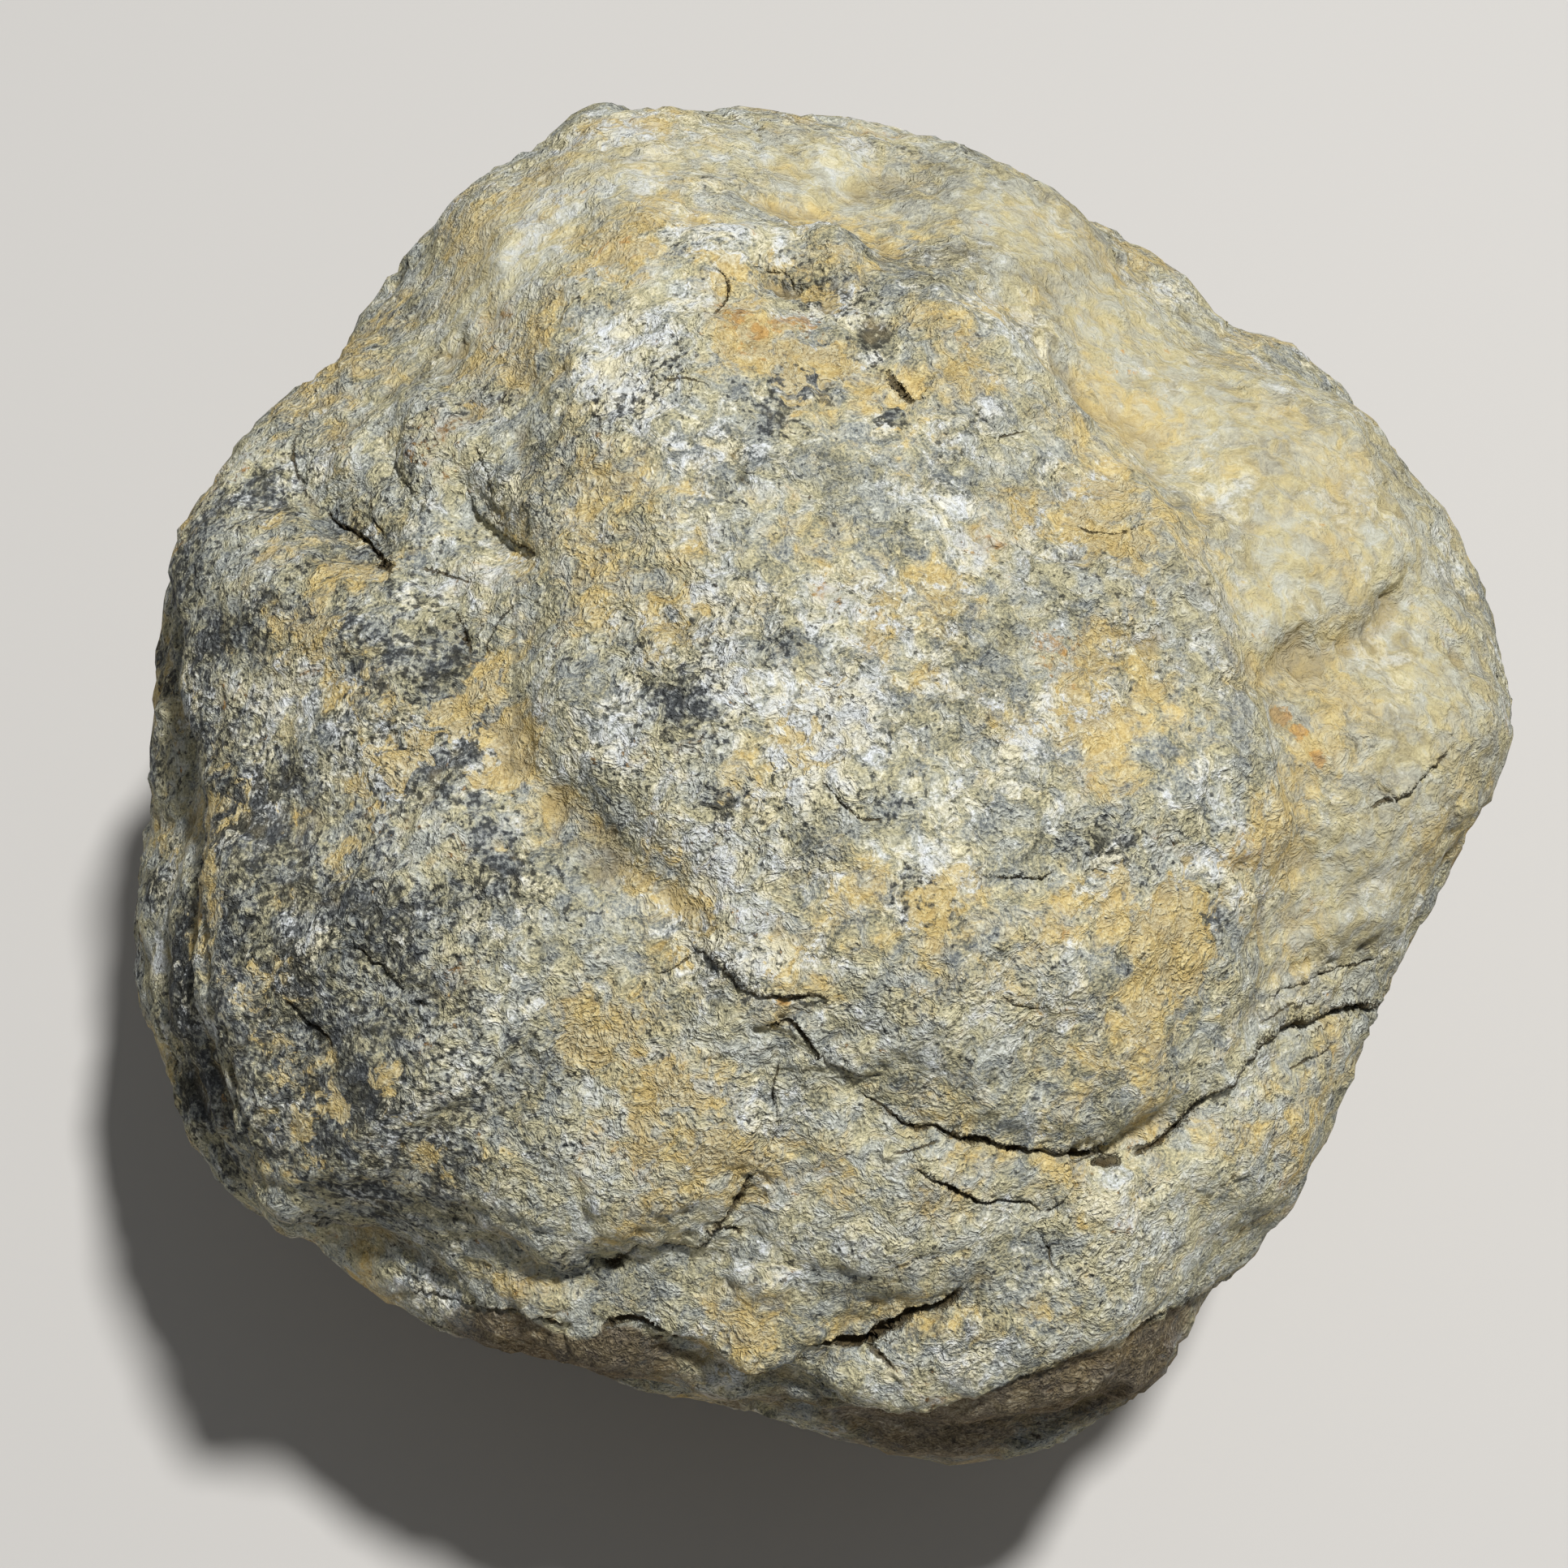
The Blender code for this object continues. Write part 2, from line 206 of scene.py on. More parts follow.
def new_material(name):
    """An empty material: gives it, its principled shader, and a blank signal to add nodes with."""
    material = bpy.data.materials.new(name)
    material.use_nodes = True
    shader = material.node_tree.nodes["Principled BSDF"]
    return material, shader, Signal(material.node_tree)


def make_floor():
    mesh = bpy.data.meshes.new("floor")
    corners = [(x * FLOOR_HALF, y * FLOOR_HALF, 0) for x, y in ((-1, -1), (1, -1), (1, 1), (-1, 1))]
    mesh.from_pydata(corners, [], [(0, 1, 2, 3)])
    material, shader, _ = new_material("pale_floor")
    shader.inputs["Base Color"].default_value = FLOOR_COLOUR
    shader.inputs["Roughness"].default_value = FLOOR_ROUGHNESS
    mesh.materials.append(material)
    floor = bpy.data.objects.new("floor", mesh)
    bpy.context.scene.collection.objects.link(floor)


make_floor()


# The stone
# A whole quartz geode as it is found: a hard grey limestone rind under chalk dust and dry
# ochre clay. It grew in lobes, with folds, creases and thin cracks where they meet, and it
# rests on a small worn spot.
BASE_GRID = 1.24 * MM
ROUNDING_LEVELS = 2
SAME_PLACE = 0.001 * MM

# Folds: how wide and deep the soft groove is, and how far the side on the left of the way along it
# stands above the other, all in millimetres, then the points that the fold runs through.
FOLDS = {
    "crown_left_valley": (3.0, 0.9, 1.2, (
        (-23.2, 17), (-24.6, 12), (-24.5, 5), (-22.5, 0), (-17.2, -3.7), (-15.5, -5.6),
        (-12.7, -7.5), (-10.5, -10), (-9.5, -12.8))),
    "nodule_fold": (1.4, 0.4, 1.0, (
        (-31, 30), (-28.8, 25.5), (-26.9, 22.3), (-25.3, 20.9), (-23.2, 19.4), (-21.5, 18.6))),
    "nodule_left_fold": (1.2, 0.4, 0.7, (
        (-33.3, 33), (-34.1, 29), (-33.9, 26), (-32.2, 23.4), (-30.5, 21.8))),
    "knob_fold": (1.3, 0.6, 0.9, (
        (-43, 27.5), (-41.5, 24.5), (-39.5, 22.2), (-38.2, 21.1), (-35.8, 19.1), (-34, 17))),
    "hollow_fold": (1.4, 0.6, 0.5, (
        (-31, 15.4), (-29.5, 14.3), (-28.5, 12.5), (-27.8, 10.5))),
    "brow_fold": (4.0, -0.7, -1.5, (
        (-9.5, -12.8), (-5.5, -15.9), (-0.8, -17), (4, -23.5), (9.2, -27.3), (16.5, -28.9),
        (22, -29.1), (26.8, -28.8), (31.6, -24.8), (36.7, -19.7), (45.8, -17))),
    "crown_rim": (2.2, -0.6, -1.5, (
        (-12, 44.5), (-4.7, 46), (0.3, 45.4), (3.8, 43.1), (9.7, 40), (14.3, 38.2), (17.1, 34.7),
        (20.4, 31.2), (24.4, 28.1), (28, 22), (32, 15), (35, 9))),
    "brow_ease": (4.0, -0.3, -1.4, (
        (-3, -18.5), (0.3, -21.5), (4, -23.8), (9, -27), (14, -28.4))),
    "brow_rim": (2.0, -0.3, -1.0, (
        (36.5, 8), (37.2, 2), (38.3, -1), (37.4, -11.5), (34.7, -17.3), (32.4, -23))),
    "brow_step": (1.5, 0.3, 0.6, (
        (16, -6.6), (22.7, -6.1), (26, -6), (28, -3.6), (32.4, -2), (35, 0))),
    "brow_step_low": (2.0, 0.4, 0.8, (
        (15, -19), (20, -18.5), (25, -16.5), (28, -15), (31.7, -11.7))),
    "wing_valley": (1.8, 1.0, 1.1, (
        (33.5, 12), (36.3, 11.3), (41.5, 12), (45.3, 13.6), (46.7, 15.4), (50, 17))),
    "front_valley": (2.4, 0.7, 0.3, (
        (-3, -21), (-3.8, -23.1), (-3.5, -27), (-5.2, -31.2), (-8, -34.8))),
    "front_fold": (1.6, 0.3, 0.4, (
        (-30, -33.5), (-27.9, -34.8), (-25.2, -36.4), (-22, -38), (-17.5, -38.5), (-14, -36.8),
        (-10.3, -37.2), (-6.5, -35.8), (-4.7, -32))),
    "front_crease": (1.5, 0.5, 0.7, (
        (-4, -46.2), (-0.4, -45.6), (3.3, -44.5), (6.5, -42.7), (8.4, -41.7), (10.3, -41.6),
        (14, -40))),
    "front_branch": (1.8, 0.4, 0.4, (
        (7, -30), (12.1, -33.1), (16.7, -33.3), (18.3, -34.4), (20.7, -31.5), (22.5, -29.5))),
    "front_branch_left": (2.0, 0.5, 0.0, (
        (17.5, -34.5), (16.7, -35.5), (13.5, -39))),
    "front_branch_right": (1.8, 0.6, 0.4, (
        (18.3, -34.5), (18.8, -36.5), (19.8, -40))),
    "ledge": (1.5, 0.5, 0.9, (
        (-38, -38.8), (-34, -40.1), (-28.7, -41.2), (-25.2, -42.3), (-20.7, -44.1), (-15.9, -43.5),
        (-11, -45.6), (-8, -46.8), (-2, -47.2))),
    "left_dent": (1.6, 0.8, 0.7, (
        (-39, -12.5), (-37, -13.5), (-35, -15), (-33.6, -16), (-31.5, -18))),
    "left_dent_low": (1.4, 0.6, 0.5, (
        (-44.5, -16.6), (-42, -18.6), (-39.5, -21))),
}
FOLD_STRAY = ((0.7, 5.0), (0.35, 2.0))
FOLD_TAPER = 4.0
FOLD_REACH = 6.0
FOLD_STEEPNESS = 1.6

# Seams on the sides and back, as folds with a thin crack along them. Their points are degrees
# round from the front, to the right, and degrees up from the stone's middle.
SEAMS = {
    "foot_ledge": (2.2, 0.7, 1.6, 0.45, 1.0, (
        (-6, 15.5), (-2.4, 14.5), (0.1, 12.6), (4.3, 10), (9.1, 12.4), (15.9, 15), (22, 14.6),
        (27.4, 12), (33, 6), (39, -2.5))),
    "left_edge": (1.8, 0.6, 1.5, 0.85, 2.0, (
        (-110, 20), (-101, 19.5), (-93, 20.5), (-85, 22), (-77, 23), (-69, 24), (-61, 23.5),
        (-55, 20.5), (-50, 15), (-45, 7))),
    "left_lip": (1.2, 0.4, 0.5, 0.4, 0.9, (
        (-79, 2), (-72, 4.5), (-66, 5), (-60, 2), (-56, -4))),
    "right_seam": (2.4, 1.1, 1.2, 0.4, 0.9, (
        (56, -6), (70, -12), (84, -8), (98, -14), (112, -10), (124, -14))),
    "right_low_seam": (2.0, 0.8, 0.8, 0.4, 0.9, (
        (70, -32), (84, -27), (97, -31), (110, -29))),
    "right_split": (1.6, 0.6, 0.3, 0.4, 0.9, (
        (84, -8), (88, -17), (84, -27))),
    "back_seam": (2.6, 1.3, 1.4, 0.4, 0.9, (
        (136, 16), (150, 9), (163, 5), (176, 8), (190, 1), (206, 5))),
    "back_split": (1.8, 0.8, 0.5, 0.4, 0.9, (
        (163, 5), (167, -5), (173, -15), (170, -26))),
    "back_dent": (1.6, 0.7, 0.6, 0.4, 0.9, (
        (186, 28), (196, 23), (206, 25))),
    "left_low_seam": (2.4, 1.1, 1.2, 0.4, 0.9, (
        (228, -22), (243, -15), (258, -20), (273, -16), (288, -22), (302, -18))),
    "left_split": (1.8, 0.7, 0.4, 0.4, 0.9, (
        (258, -20), (264, -30), (260, -42))),
    "left_back_seam": (2.0, 0.9, 0.9, 0.4, 0.9, (
        (214, 15), (226, 9), (238, 12), (249, 6))),
    "front_under_seam": (2.2, 1.0, 1.2, 0.4, 0.9, (
        (-38, -20), (-22, -27), (-6, -22), (9, -28), (26, -23), (40, -27))),
    "front_under_split": (1.8, 0.7, 0.4, 0.4, 0.9, (
        (9, -28), (13, -39), (8, -52))),
}
SEAM_RISE = (0.25, 0.3)

# Lumps and pits: the place of each, its radius and its height, all in millimetres.
LUMPS = (
    (-31, 27.5, 4, 0.7), (23.3, -32.7, 3.2, 1.0), (18, -38.6, 3.4, 0.8), (1.5, -47.4, 2.6, 1.0),
    (6.2, -44.6, 2.6, 0.9), (0.1, -50.1, 2.0, 0.9), (-12, 37, 6, 0.8), (6, 22, 9, 0.8),
    (-4, 43.2, 1.3, -1.6), (-3, 41.6, 1.7, -1.5), (-8, 41, 1.4, -1.2), (4.6, 37.8, 1.0, -0.8),
    (-0.4, 39.8, 2.2, -0.8), (-6, 38, 2.5, 0.8), (1.5, 43.5, 2.5, 0.7), (-10.5, 43, 2.5, 0.7),
    (52.6, 11.2, 1.2, -1.3), (51.9, -6.3, 1.6, -1.2), (48.7, -11.7, 1.2, -1.0),
    (23.3, -29.7, 1.3, -1.5), (-28.2, 30.5, 0.8, -0.8), (38.2, 6.0, 1.5, -0.6),
)

# Cracks: how wide and deep each one is, and how far its upper side, on the left of the way
# along it, bulges up and hangs over, all in millimetres, then the points it runs through.
CRACKS = {
    "crown_crack": (0.55, 1.0, 0.35, 0.4, (
        (-10.2, -12.9), (-9.5, -12.8), (-7.5, -14.2), (-5.5, -15.9), (-3.8, -16.5), (-0.8, -16.5),
        (1, -17.2))),
    "crown_crack_tail": (0.3, 0.5, 0.1, 0.1, (
        (-13.5, -15), (-12.5, -14.5), (-10.2, -13.1))),
    "brow_start": (0.4, 0.8, 0.2, 0.3, (
        (-4.4, -19.2), (-3, -18.7), (-1.6, -19.5), (0.3, -21.5), (3.1, -22.5), (5.3, -23.4))),
    "brow_middle": (0.4, 0.7, 0.2, 0.3, (
        (3.1, -24.2), (5.9, -26.5), (7.8, -27.3), (9.2, -27.5))),
    "brow_crack": (0.7, 1.4, 0.4, 0.6, (
        (7.8, -27.2), (9.7, -27.2), (11.3, -28.3), (13.5, -28.4), (16.7, -29.1), (19.3, -28.9),
        (22, -29.1), (24, -29))),
    "brow_east": (1.0, 1.8, 0.5, 0.8, (
        (25.5, -29.3), (26.8, -28.8), (31.6, -24.8), (36.7, -19.7), (39.9, -18.5), (43.1, -17.4),
        (45.8, -17))),
    "brow_side_pit": (0.9, 1.2, 0.2, 0.3, (
        (21.8, -30.3), (23.3, -29.9), (25, -30.4))),
    "brow_spur": (0.35, 0.6, 0.1, 0.1, (
        (38.5, -22.8), (39.7, -22.2), (42.4, -20.8))),
    "cheek_crease": (0.35, 0.6, 0.1, 0.2, (
        (36.5, -16.6), (40.3, -15.1), (43, -14.3), (46, -13.5))),
    "cheek_crack": (0.35, 0.6, 0.1, 0.1, (
        (45, -1.5), (46.7, -0.7), (49.9, 1.8), (51.3, 3.3))),
    "nodule_crease": (0.42, 1.1, 0.35, 0.4, (
        (-28.9, 25), (-27.4, 22.7), (-26, 21.4), (-24.4, 20.3), (-23, 19.4))),
    "wrinkle": (0.3, 0.6, 0.15, 0.15, (
        (-28.3, 28.2), (-26.9, 26), (-26.7, 23.5), (-26, 22.5))),
    "nodule_left": (0.3, 0.8, 0.2, 0.25, (
        (-33.3, 30.5), (-34.3, 28.6), (-34, 26), (-32.4, 24))),
    "knob_crease": (0.32, 0.9, 0.25, 0.25, (
        (-40.2, 23), (-39.5, 22.2), (-38.2, 21.1), (-35.8, 19.1), (-34.5, 17.5))),
    "knob_wrinkle": (0.25, 0.5, 0.15, 0.15, (
        (-37.1, 24.3), (-36.6, 22.6), (-35.8, 20.8))),
    "knob_tip": (0.3, 0.6, 0.1, 0.1, (
        (-42.7, 29), (-42.9, 27.8), (-42.5, 25.1))),
    "hollow_crack": (0.2, 0.4, 0.1, 0.15, (
        (-32.7, 18.5), (-30.5, 17.8), (-28.5, 16.9))),
    "hollow_pit": (0.35, 0.8, 0.2, 0.25, (
        (-30.4, 15.1), (-30, 14.7), (-29.1, 13.5), (-28.2, 11.3))),
    "hollow_edge": (0.25, 0.5, 0.1, 0.1, (
        (-24.7, 15.3), (-26.9, 12.7), (-27.3, 11.1))),
    "left_dent": (0.5, 1.1, 0.3, 0.4, (
        (-38.4, -12.6), (-36.4, -13.4), (-34.4, -15.2), (-33.4, -16), (-31.8, -17.8))),
    "left_dent_low": (0.45, 0.9, 0.2, 0.3, (
        (-44.2, -17), (-43, -17.6), (-42, -18.8), (-40.8, -19.6), (-39.8, -21.2))),
    "front_fold": (0.6, 1.3, 0.35, 0.45, (
        (-25.2, -36.4), (-22, -38), (-19.9, -38.3), (-18.5, -38), (-17.5, -38.5), (-16.1, -37.7),
        (-14, -36.8), (-10.3, -37.2), (-8.7, -36.1), (-7.3, -35.7), (-6, -36.4))),
    "front_fold_up": (0.3, 0.6, 0.1, 0.1, (
        (-8.7, -36.1), (-6.3, -32.7), (-4.7, -32.1))),
    "front_low_crack": (0.5, 1.0, 0.3, 0.3, (
        (-18, -44), (-15.9, -43.3), (-12.7, -44.1), (-11.3, -45.2))),
    "front_crease": (0.7, 1.4, 0.4, 0.4, (
        (-0.4, -45.6), (3.3, -44.5), (4.1, -43.9), (6.5, -42.7), (8.4, -41.7), (10.3, -41.6),
        (11.9, -40.8))),
    "front_crease_low": (0.4, 0.8, 0.1, 0.2, (
        (3.3, -44.8), (4.6, -45.9), (6, -47.5))),
    "ledge": (0.5, 1.1, 0.35, 0.45, (
        (-34, -40.1), (-31.6, -40.7), (-28.7, -41.2), (-25.2, -42.3), (-22.8, -43.1),
        (-20.7, -44.1))),
    "front_branch": (0.4, 0.8, 0.2, 0.3, (
        (8, -30.5), (12.1, -33.1), (14, -33.3), (16.7, -33.3), (18.3, -34.4))),
    "front_branch_up": (0.3, 0.6, 0.1, 0.1, (
        (18.3, -34.4), (19.3, -33.9), (20.7, -31.5))),
    "front_branch_down": (0.3, 0.6, 0.1, 0.2, (
        (17.5, -35.2), (18.6, -36.5), (19.6, -39.2))),
    "front_hairline": (0.3, 0.5, 0.1, 0.1, (
        (6, -29.6), (8.4, -28.8), (10, -28.6))),
    "valley_crack": (0.3, 0.6, 0.1, 0.15, (
        (-3.4, -22), (-3.8, -24.5), (-3.5, -27), (-5.2, -31.2), (-7.5, -34))),
    "crown_top_crack": (0.25, 0.6, 0.15, 0.15, (
        (5.5, 34.9), (6.4, 33.5), (7.8, 32.3), (8.7, 32.8))),
    "crown_right_crack": (0.25, 0.5, 0.1, 0.1, (
        (14.2, 29), (15.3, 29.3), (17, 29.6))),
    "crown_left_crack": (0.25, 0.5, 0.1, 0.15, (
        (-13, 34), (-11, 34), (-9, 33.2))),
    "cavity_crack": (0.25, 0.6, 0.15, 0.15, (
        (-8.8, 42.8), (-7.4, 41.7), (-7.8, 40), (-8.6, 39))),
    "cavity_rim": (0.35, 0.8, 0.3, 0.3, (
        (-5.4, 42.9), (-4, 42.6), (-2.4, 42.2), (-1.8, 41))),
    "centre_scratch": (0.3, 0.5, 0.15, 0.15, (
        (0.2, 1.2), (1.8, -0.8), (3.2, -1.8), (5.3, -2))),
    "shoulder_scratch": (0.25, 0.4, 0.1, 0.1, (
        (21, 21.5), (24, 21), (27, 21.7))),
    "brow_scratch": (0.3, 0.5, 0.15, 0.15, (
        (14.2, -6.9), (16.5, -7), (19.2, -6.2))),
    "brow_scratch_low": (0.3, 0.5, 0.15, 0.15, (
        (15, -16.5), (17, -17.6), (19.5, -17.3))),
}
CRACK_STRAY = ((0.45, 3.2), (0.22, 1.1), (0.1, 0.4))
CRACK_TAPER = 2.5
CRACK_TAPER_CURVE = 0.7
CRACK_END_WIDTH = 0.45
CRACK_MEAN = 0.95
CRACK_UNEVEN = 0.6
CRACK_UNEVEN_SIZE = 2.5
CRACK_REACH = 2.6
CRACK_SEEN = 1.4
CRACK_SEEN_FADE = 0.4
THINNEST_CRACK = 0.05
FARTHEST_WAY = 4

# Zones of colour: for each patch its place, its radius in millimetres and its strength.
ZONES = {
    "charcoal": (
        (-46, -2, 6, 0.9), (-45, -15, 6, 0.9), (-42, -27, 6, 1.0), (-37, -33, 5, 1.0),
        (-50, 8, 6, 0.7), (-46, 24, 6, 0.7), (-50, -25, 6, 1.0), (-52, -12, 6, 1.0),
        (-12, 7, 4, 0.8), (-8, -1.5, 2.2, 0.7), (-4, 12, 1.8, 0.5), (2, 8, 1.5, 0.5),
        (-15, 1, 1.8, 0.5), (6, -2, 1.4, 0.5), (-9, 14, 2.0, 0.5), (9.2, -8.7, 2.4, 0.8),
        (32, -10.5, 2, 0.9), (-35, 0.5, 3, 0.9), (0, 40, 3, 0.6), (-33, -17, 6, 0.6),
        (-30, -29, 6, 0.6), (-40, -8, 7, 0.6), (-38, -24, 6, 0.6), (-36, 12, 6, 0.5),
        (-40, 18, 5, 0.5), (-54, -8, 3, 1.0), (-53, -17, 3, 1.0), (-51, -24, 3, 1.0),
        (-48, -30, 3, 1.0), (-54, 2, 3, 0.9), (-35.7, 1.6, 2.2, 1.0), (-28.6, 4, 2.4, 1.0),
        (-31.7, 0, 2.7, 1.0), (-26, -7, 3, 0.7), (-28, -3, 2.5, 0.6), (-33, -9, 4, 0.6),
        (-23, -11, 2.5, 0.4), (29, -9, 6, 0.25), (-34, 24, 4, 0.4), (-31, 10, 3, 0.5),
        (-38, 8, 4, 0.4), (-12, 36, 2, 0.4), (23.3, -3.8, 2, 0.6), (-16, 31.5, 2.5, 0.6),
        (-3.4, 41, 1.3, 0.9), (0, 39.8, 1.9, 1.0), (2.2, 40.5, 1.2, 0.9), (4.3, 37.6, 1.6, 1.0),
        (-2, 33, 2.8, 0.9), (-3.4, 30.3, 1.7, 0.8), (5.7, 30.7, 1.5, 0.8), (12.8, 30.4, 0.8, 0.9),
        (-28, 31, 3, 0.4), (-52, 18, 6, 0.7)),
    "dust": (
        (42, 24, 14, 1.0), (20, 44, 11, 1.0), (30, 34, 11, 1.0), (49, 8, 10, 0.9), (0, 50, 8, 0.8),
        (46, -6, 8, 0.8), (-18, 51, 8, 0.8), (37, 14, 7, 0.7), (-27, 43, 8, 0.8),
        (40, -14, 7, 0.5)),
    "chalk": (
        (-13, 50, 5, 0.9), (-22, 46, 5, 0.8), (-14, 35, 6, 0.9), (-2, 0, 9, 0.7), (-6, 10, 8, 0.6),
        (12, 10, 9, 0.6), (-16.5, 54, 4, 1.0), (-6, -10, 6, 0.6), (-28, 16, 4, 0.8),
        (24, -32.5, 3, 0.9), (29, -36, 4, 0.5), (-38, 6, 6, 0.6), (11.5, 29, 2, 0.8),
        (-2, -40.7, 2, 0.9), (-11.3, -32.7, 2, 0.8), (3, 3.5, 1.5, 0.9), (16, 4, 1.2, 0.9),
        (-10, 40, 1.6, 0.9), (-8.8, 33.6, 2.6, 1.0), (-3.4, 43.5, 1.3, 0.9), (-1.2, 36.8, 1.3, 0.9),
        (1.7, 32.7, 1.2, 0.9), (3, 39.6, 1.0, 0.9), (4.5, 36, 1.2, 0.9), (-9, 8, 1.5, 0.8),
        (0, 5.5, 2.5, 0.7), (4, -5, 1.5, 0.7), (-4, -4, 2.5, 0.7), (-32, -40, 4, 0.5),
        (8, -48, 5, 0.5)),
    "streaked": (
        (-40, 6, 9, 1.0), (-46, -8, 8, 0.8), (-36, 14, 6, 0.7), (-47, -20, 6, 0.6)),
    "pale": (
        (-10, 52, 9, 1.0), (-24, 46, 8, 1.0), (-2, 52, 7, 0.9), (-14, -28, 9, 1.0),
        (28, -36, 8, 0.9), (6, -36, 6, 0.5), (-18, 49, 9, 1.0), (18, -16, 8, 0.4),
        (-14, 35, 5, 0.7), (-2, 2, 8, 0.5), (-25, 40, 8, 0.8), (38, -26, 6, 0.5)),
    "ochre": (
        (29, -9, 6, 0.35), (27, -4, 5, 0.4), (24, -36, 6, 0.3), (-27.3, 10, 1.6, 1.0),
        (-28, 7.4, 1.6, 1.0), (-30.2, 6, 1.7, 1.0), (-32.4, 4, 1.7, 1.0), (-33.8, 1.2, 1.6, 1.0),
        (-36.6, -2, 1.5, 1.0), (-38.4, -4.6, 1.3, 1.0), (-26.3, 0.7, 1.7, 1.0),
        (-24.3, 2.4, 1.4, 1.0), (-23.2, 4.4, 1.3, 0.9), (-6.3, 37.3, 3.0, 0.8),
        (0.5, 35.2, 2.2, 0.9), (-7, 43, 1.8, 0.8), (6, 27, 4, 0.5), (-25, 48, 7, 0.6),
        (-20, 42, 6, 0.6), (-39.6, -26, 1.2, 1.0), (-42.1, -27.7, 1.0, 1.0),
        (-41.1, -30.3, 1.2, 1.0), (-32, -29.9, 1.2, 1.0), (-35.3, -23.6, 2.0, 0.75),
        (24, 20, 5, 0.5), (6, -30, 6, 0.3), (30, -14, 4, 0.8), (26, 30, 4, 0.8), (30, 22, 4, 0.8),
        (41, 2, 6, 0.7), (40, 16, 6, 0.5), (-12, -24, 9, 0.4), (4, 45, 6, 0.6)),
    "rust": (
        (37.6, 6.2, 1.1, 1.6), (39.2, 5, 1.0, 1.5), (40.6, 2.6, 0.8, 1.5), (-0.4, 37.6, 1.6, 0.9),
        (-5, 38, 1.5, 0.7), (-4.5, 4.7, 0.5, 1.2), (-18.5, 2.5, 0.5, 1.0), (-3.3, -17, 0.8, 1.0),
        (-6, 36, 3, 0.5), (20, 12, 2.5, 0.5), (22, -18, 3, 0.5), (-18, 44, 3, 0.5),
        (26, 33, 3, 0.5)),
}

# Zones of colour on the sides, the back and below, placed by degrees as the seams are.
BACK_ZONES = {
    # Painted shade on the lower front, made darker and browner where the side turns down.
    "low_shade": (
        (-38, -18, 7, 0.8), (-24, -22, 8, 0.9), (-11, -22, 8, 1.0), (2, -16, 7, 1.0),
        (14, -18, 8, 1.0), (27, -18, 8, 1.0), (38, -16, 7, 0.8), (5, -36, 9, 0.6),
        (-28, -42, 8, 0.5)),
    "charcoal": (
        (262, 2, 9, 0.9), (282, -6, 8, 0.9), (246, -12, 8, 0.7), (300, -25, 7, 0.7),
        (205, -8, 7, 0.7), (176, -22, 8, 0.6), (150, -8, 6, 0.6), (100, -28, 7, 0.6),
        (66, -22, 6, 0.5), (20, -38, 8, 0.5), (-25, -40, 8, 0.6)),
    "chalk": (
        (190, 14, 8, 0.8), (225, -2, 7, 0.7), (120, -4, 8, 0.7), (80, -2, 6, 0.6),
        (272, -30, 7, 0.7), (150, -30, 8, 0.7), (45, -30, 7, 0.6), (0, -28, 6, 0.5)),
    "ochre": (
        (165, 12, 8, 0.8), (238, 14, 8, 0.8), (218, -20, 8, 0.7), (130, -20, 8, 0.8),
        (92, -14, 6, 0.7), (290, -34, 8, 0.7), (180, -40, 9, 0.7), (70, -40, 8, 0.7),
        (-10, -36, 7, 0.6), (255, -48, 8, 0.7), (110, 6, 7, 0.6)),
    "rust": (
        (164, 4, 3, 0.9), (258, -20, 3, 0.9), (86, -9, 3, 0.9), (232, 10, 2, 0.8)),
}

# Painted shade, dark brown, lies below the front ledges: how far below them, in millimetres, it has
# begun, how softly it ends, and how far it reaches.
LEDGE_SHADE_EDGE = 1.0
LEDGE_SHADE_FADE = 13
LEDGE_SHADE_REACH = 23

# The pale streaks fan out from a place left of the crown.
FAN_ROOT = (-22, 20)
FAN_REACH = 25

# The side turns to underside between these leans of its normal.
UNDER_FACING = 0.3
UNDER_SPAN = 0.5


def on_stone(surface, u, v):
    """Where the eye's sight line through that place meets the stone, and the way out there."""
    target = STONE_MIDDLE + (RIGHT * u + UP * v) * MM
    point, normal, _, _ = surface.ray_cast(EYE, (target - EYE).normalized())
    if point is None:
        point, normal, _, _ = surface.find_nearest(target)
    return point, normal


def round_stone(surface, azimuth, rise):
    """The place on the stone that way round from the front and that way up, in degrees."""
    turn, lift = math.radians(azimuth), math.radians(rise)
    out = Vector((math.sin(turn) * math.cos(lift), -math.cos(turn) * math.cos(lift), math.sin(lift)))
    point, normal, _, _ = surface.ray_cast(STONE_MIDDLE + out * EYE_DISTANCE, -out)
    return point, normal


def even_stone():
    """A smooth, evenly gridded copy of the solid, still at its own size."""
    body = bmesh.new()
    body.from_mesh(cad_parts["geode"].data)
    bmesh.ops.remove_doubles(body, verts=body.verts, dist=SAME_PLACE)
    mesh = bpy.data.meshes.new("geode_stone")
    body.to_mesh(mesh)
    body.free()
    stone = bpy.data.objects.new("geode_stone", mesh)
    bpy.context.scene.collection.objects.link(stone)
    rounding = stone.modifiers.new("rounding", "SUBSURF")
    rounding.levels = ROUNDING_LEVELS
    rounding.render_levels = ROUNDING_LEVELS
    gridding = stone.modifiers.new("gridding", "REMESH")
    gridding.mode = "VOXEL"
    gridding.voxel_size = BASE_GRID
    return stone


def settle(stone):
    """Turns the stone with its modifiers into a plain mesh."""
    evaluated = stone.evaluated_get(bpy.context.evaluated_depsgraph_get())
    mesh = bpy.data.meshes.new_from_object(evaluated)
    stone.modifiers.clear()
    old = stone.data
    stone.data = mesh
    bpy.data.meshes.remove(old)


stone = even_stone()
settle(stone)

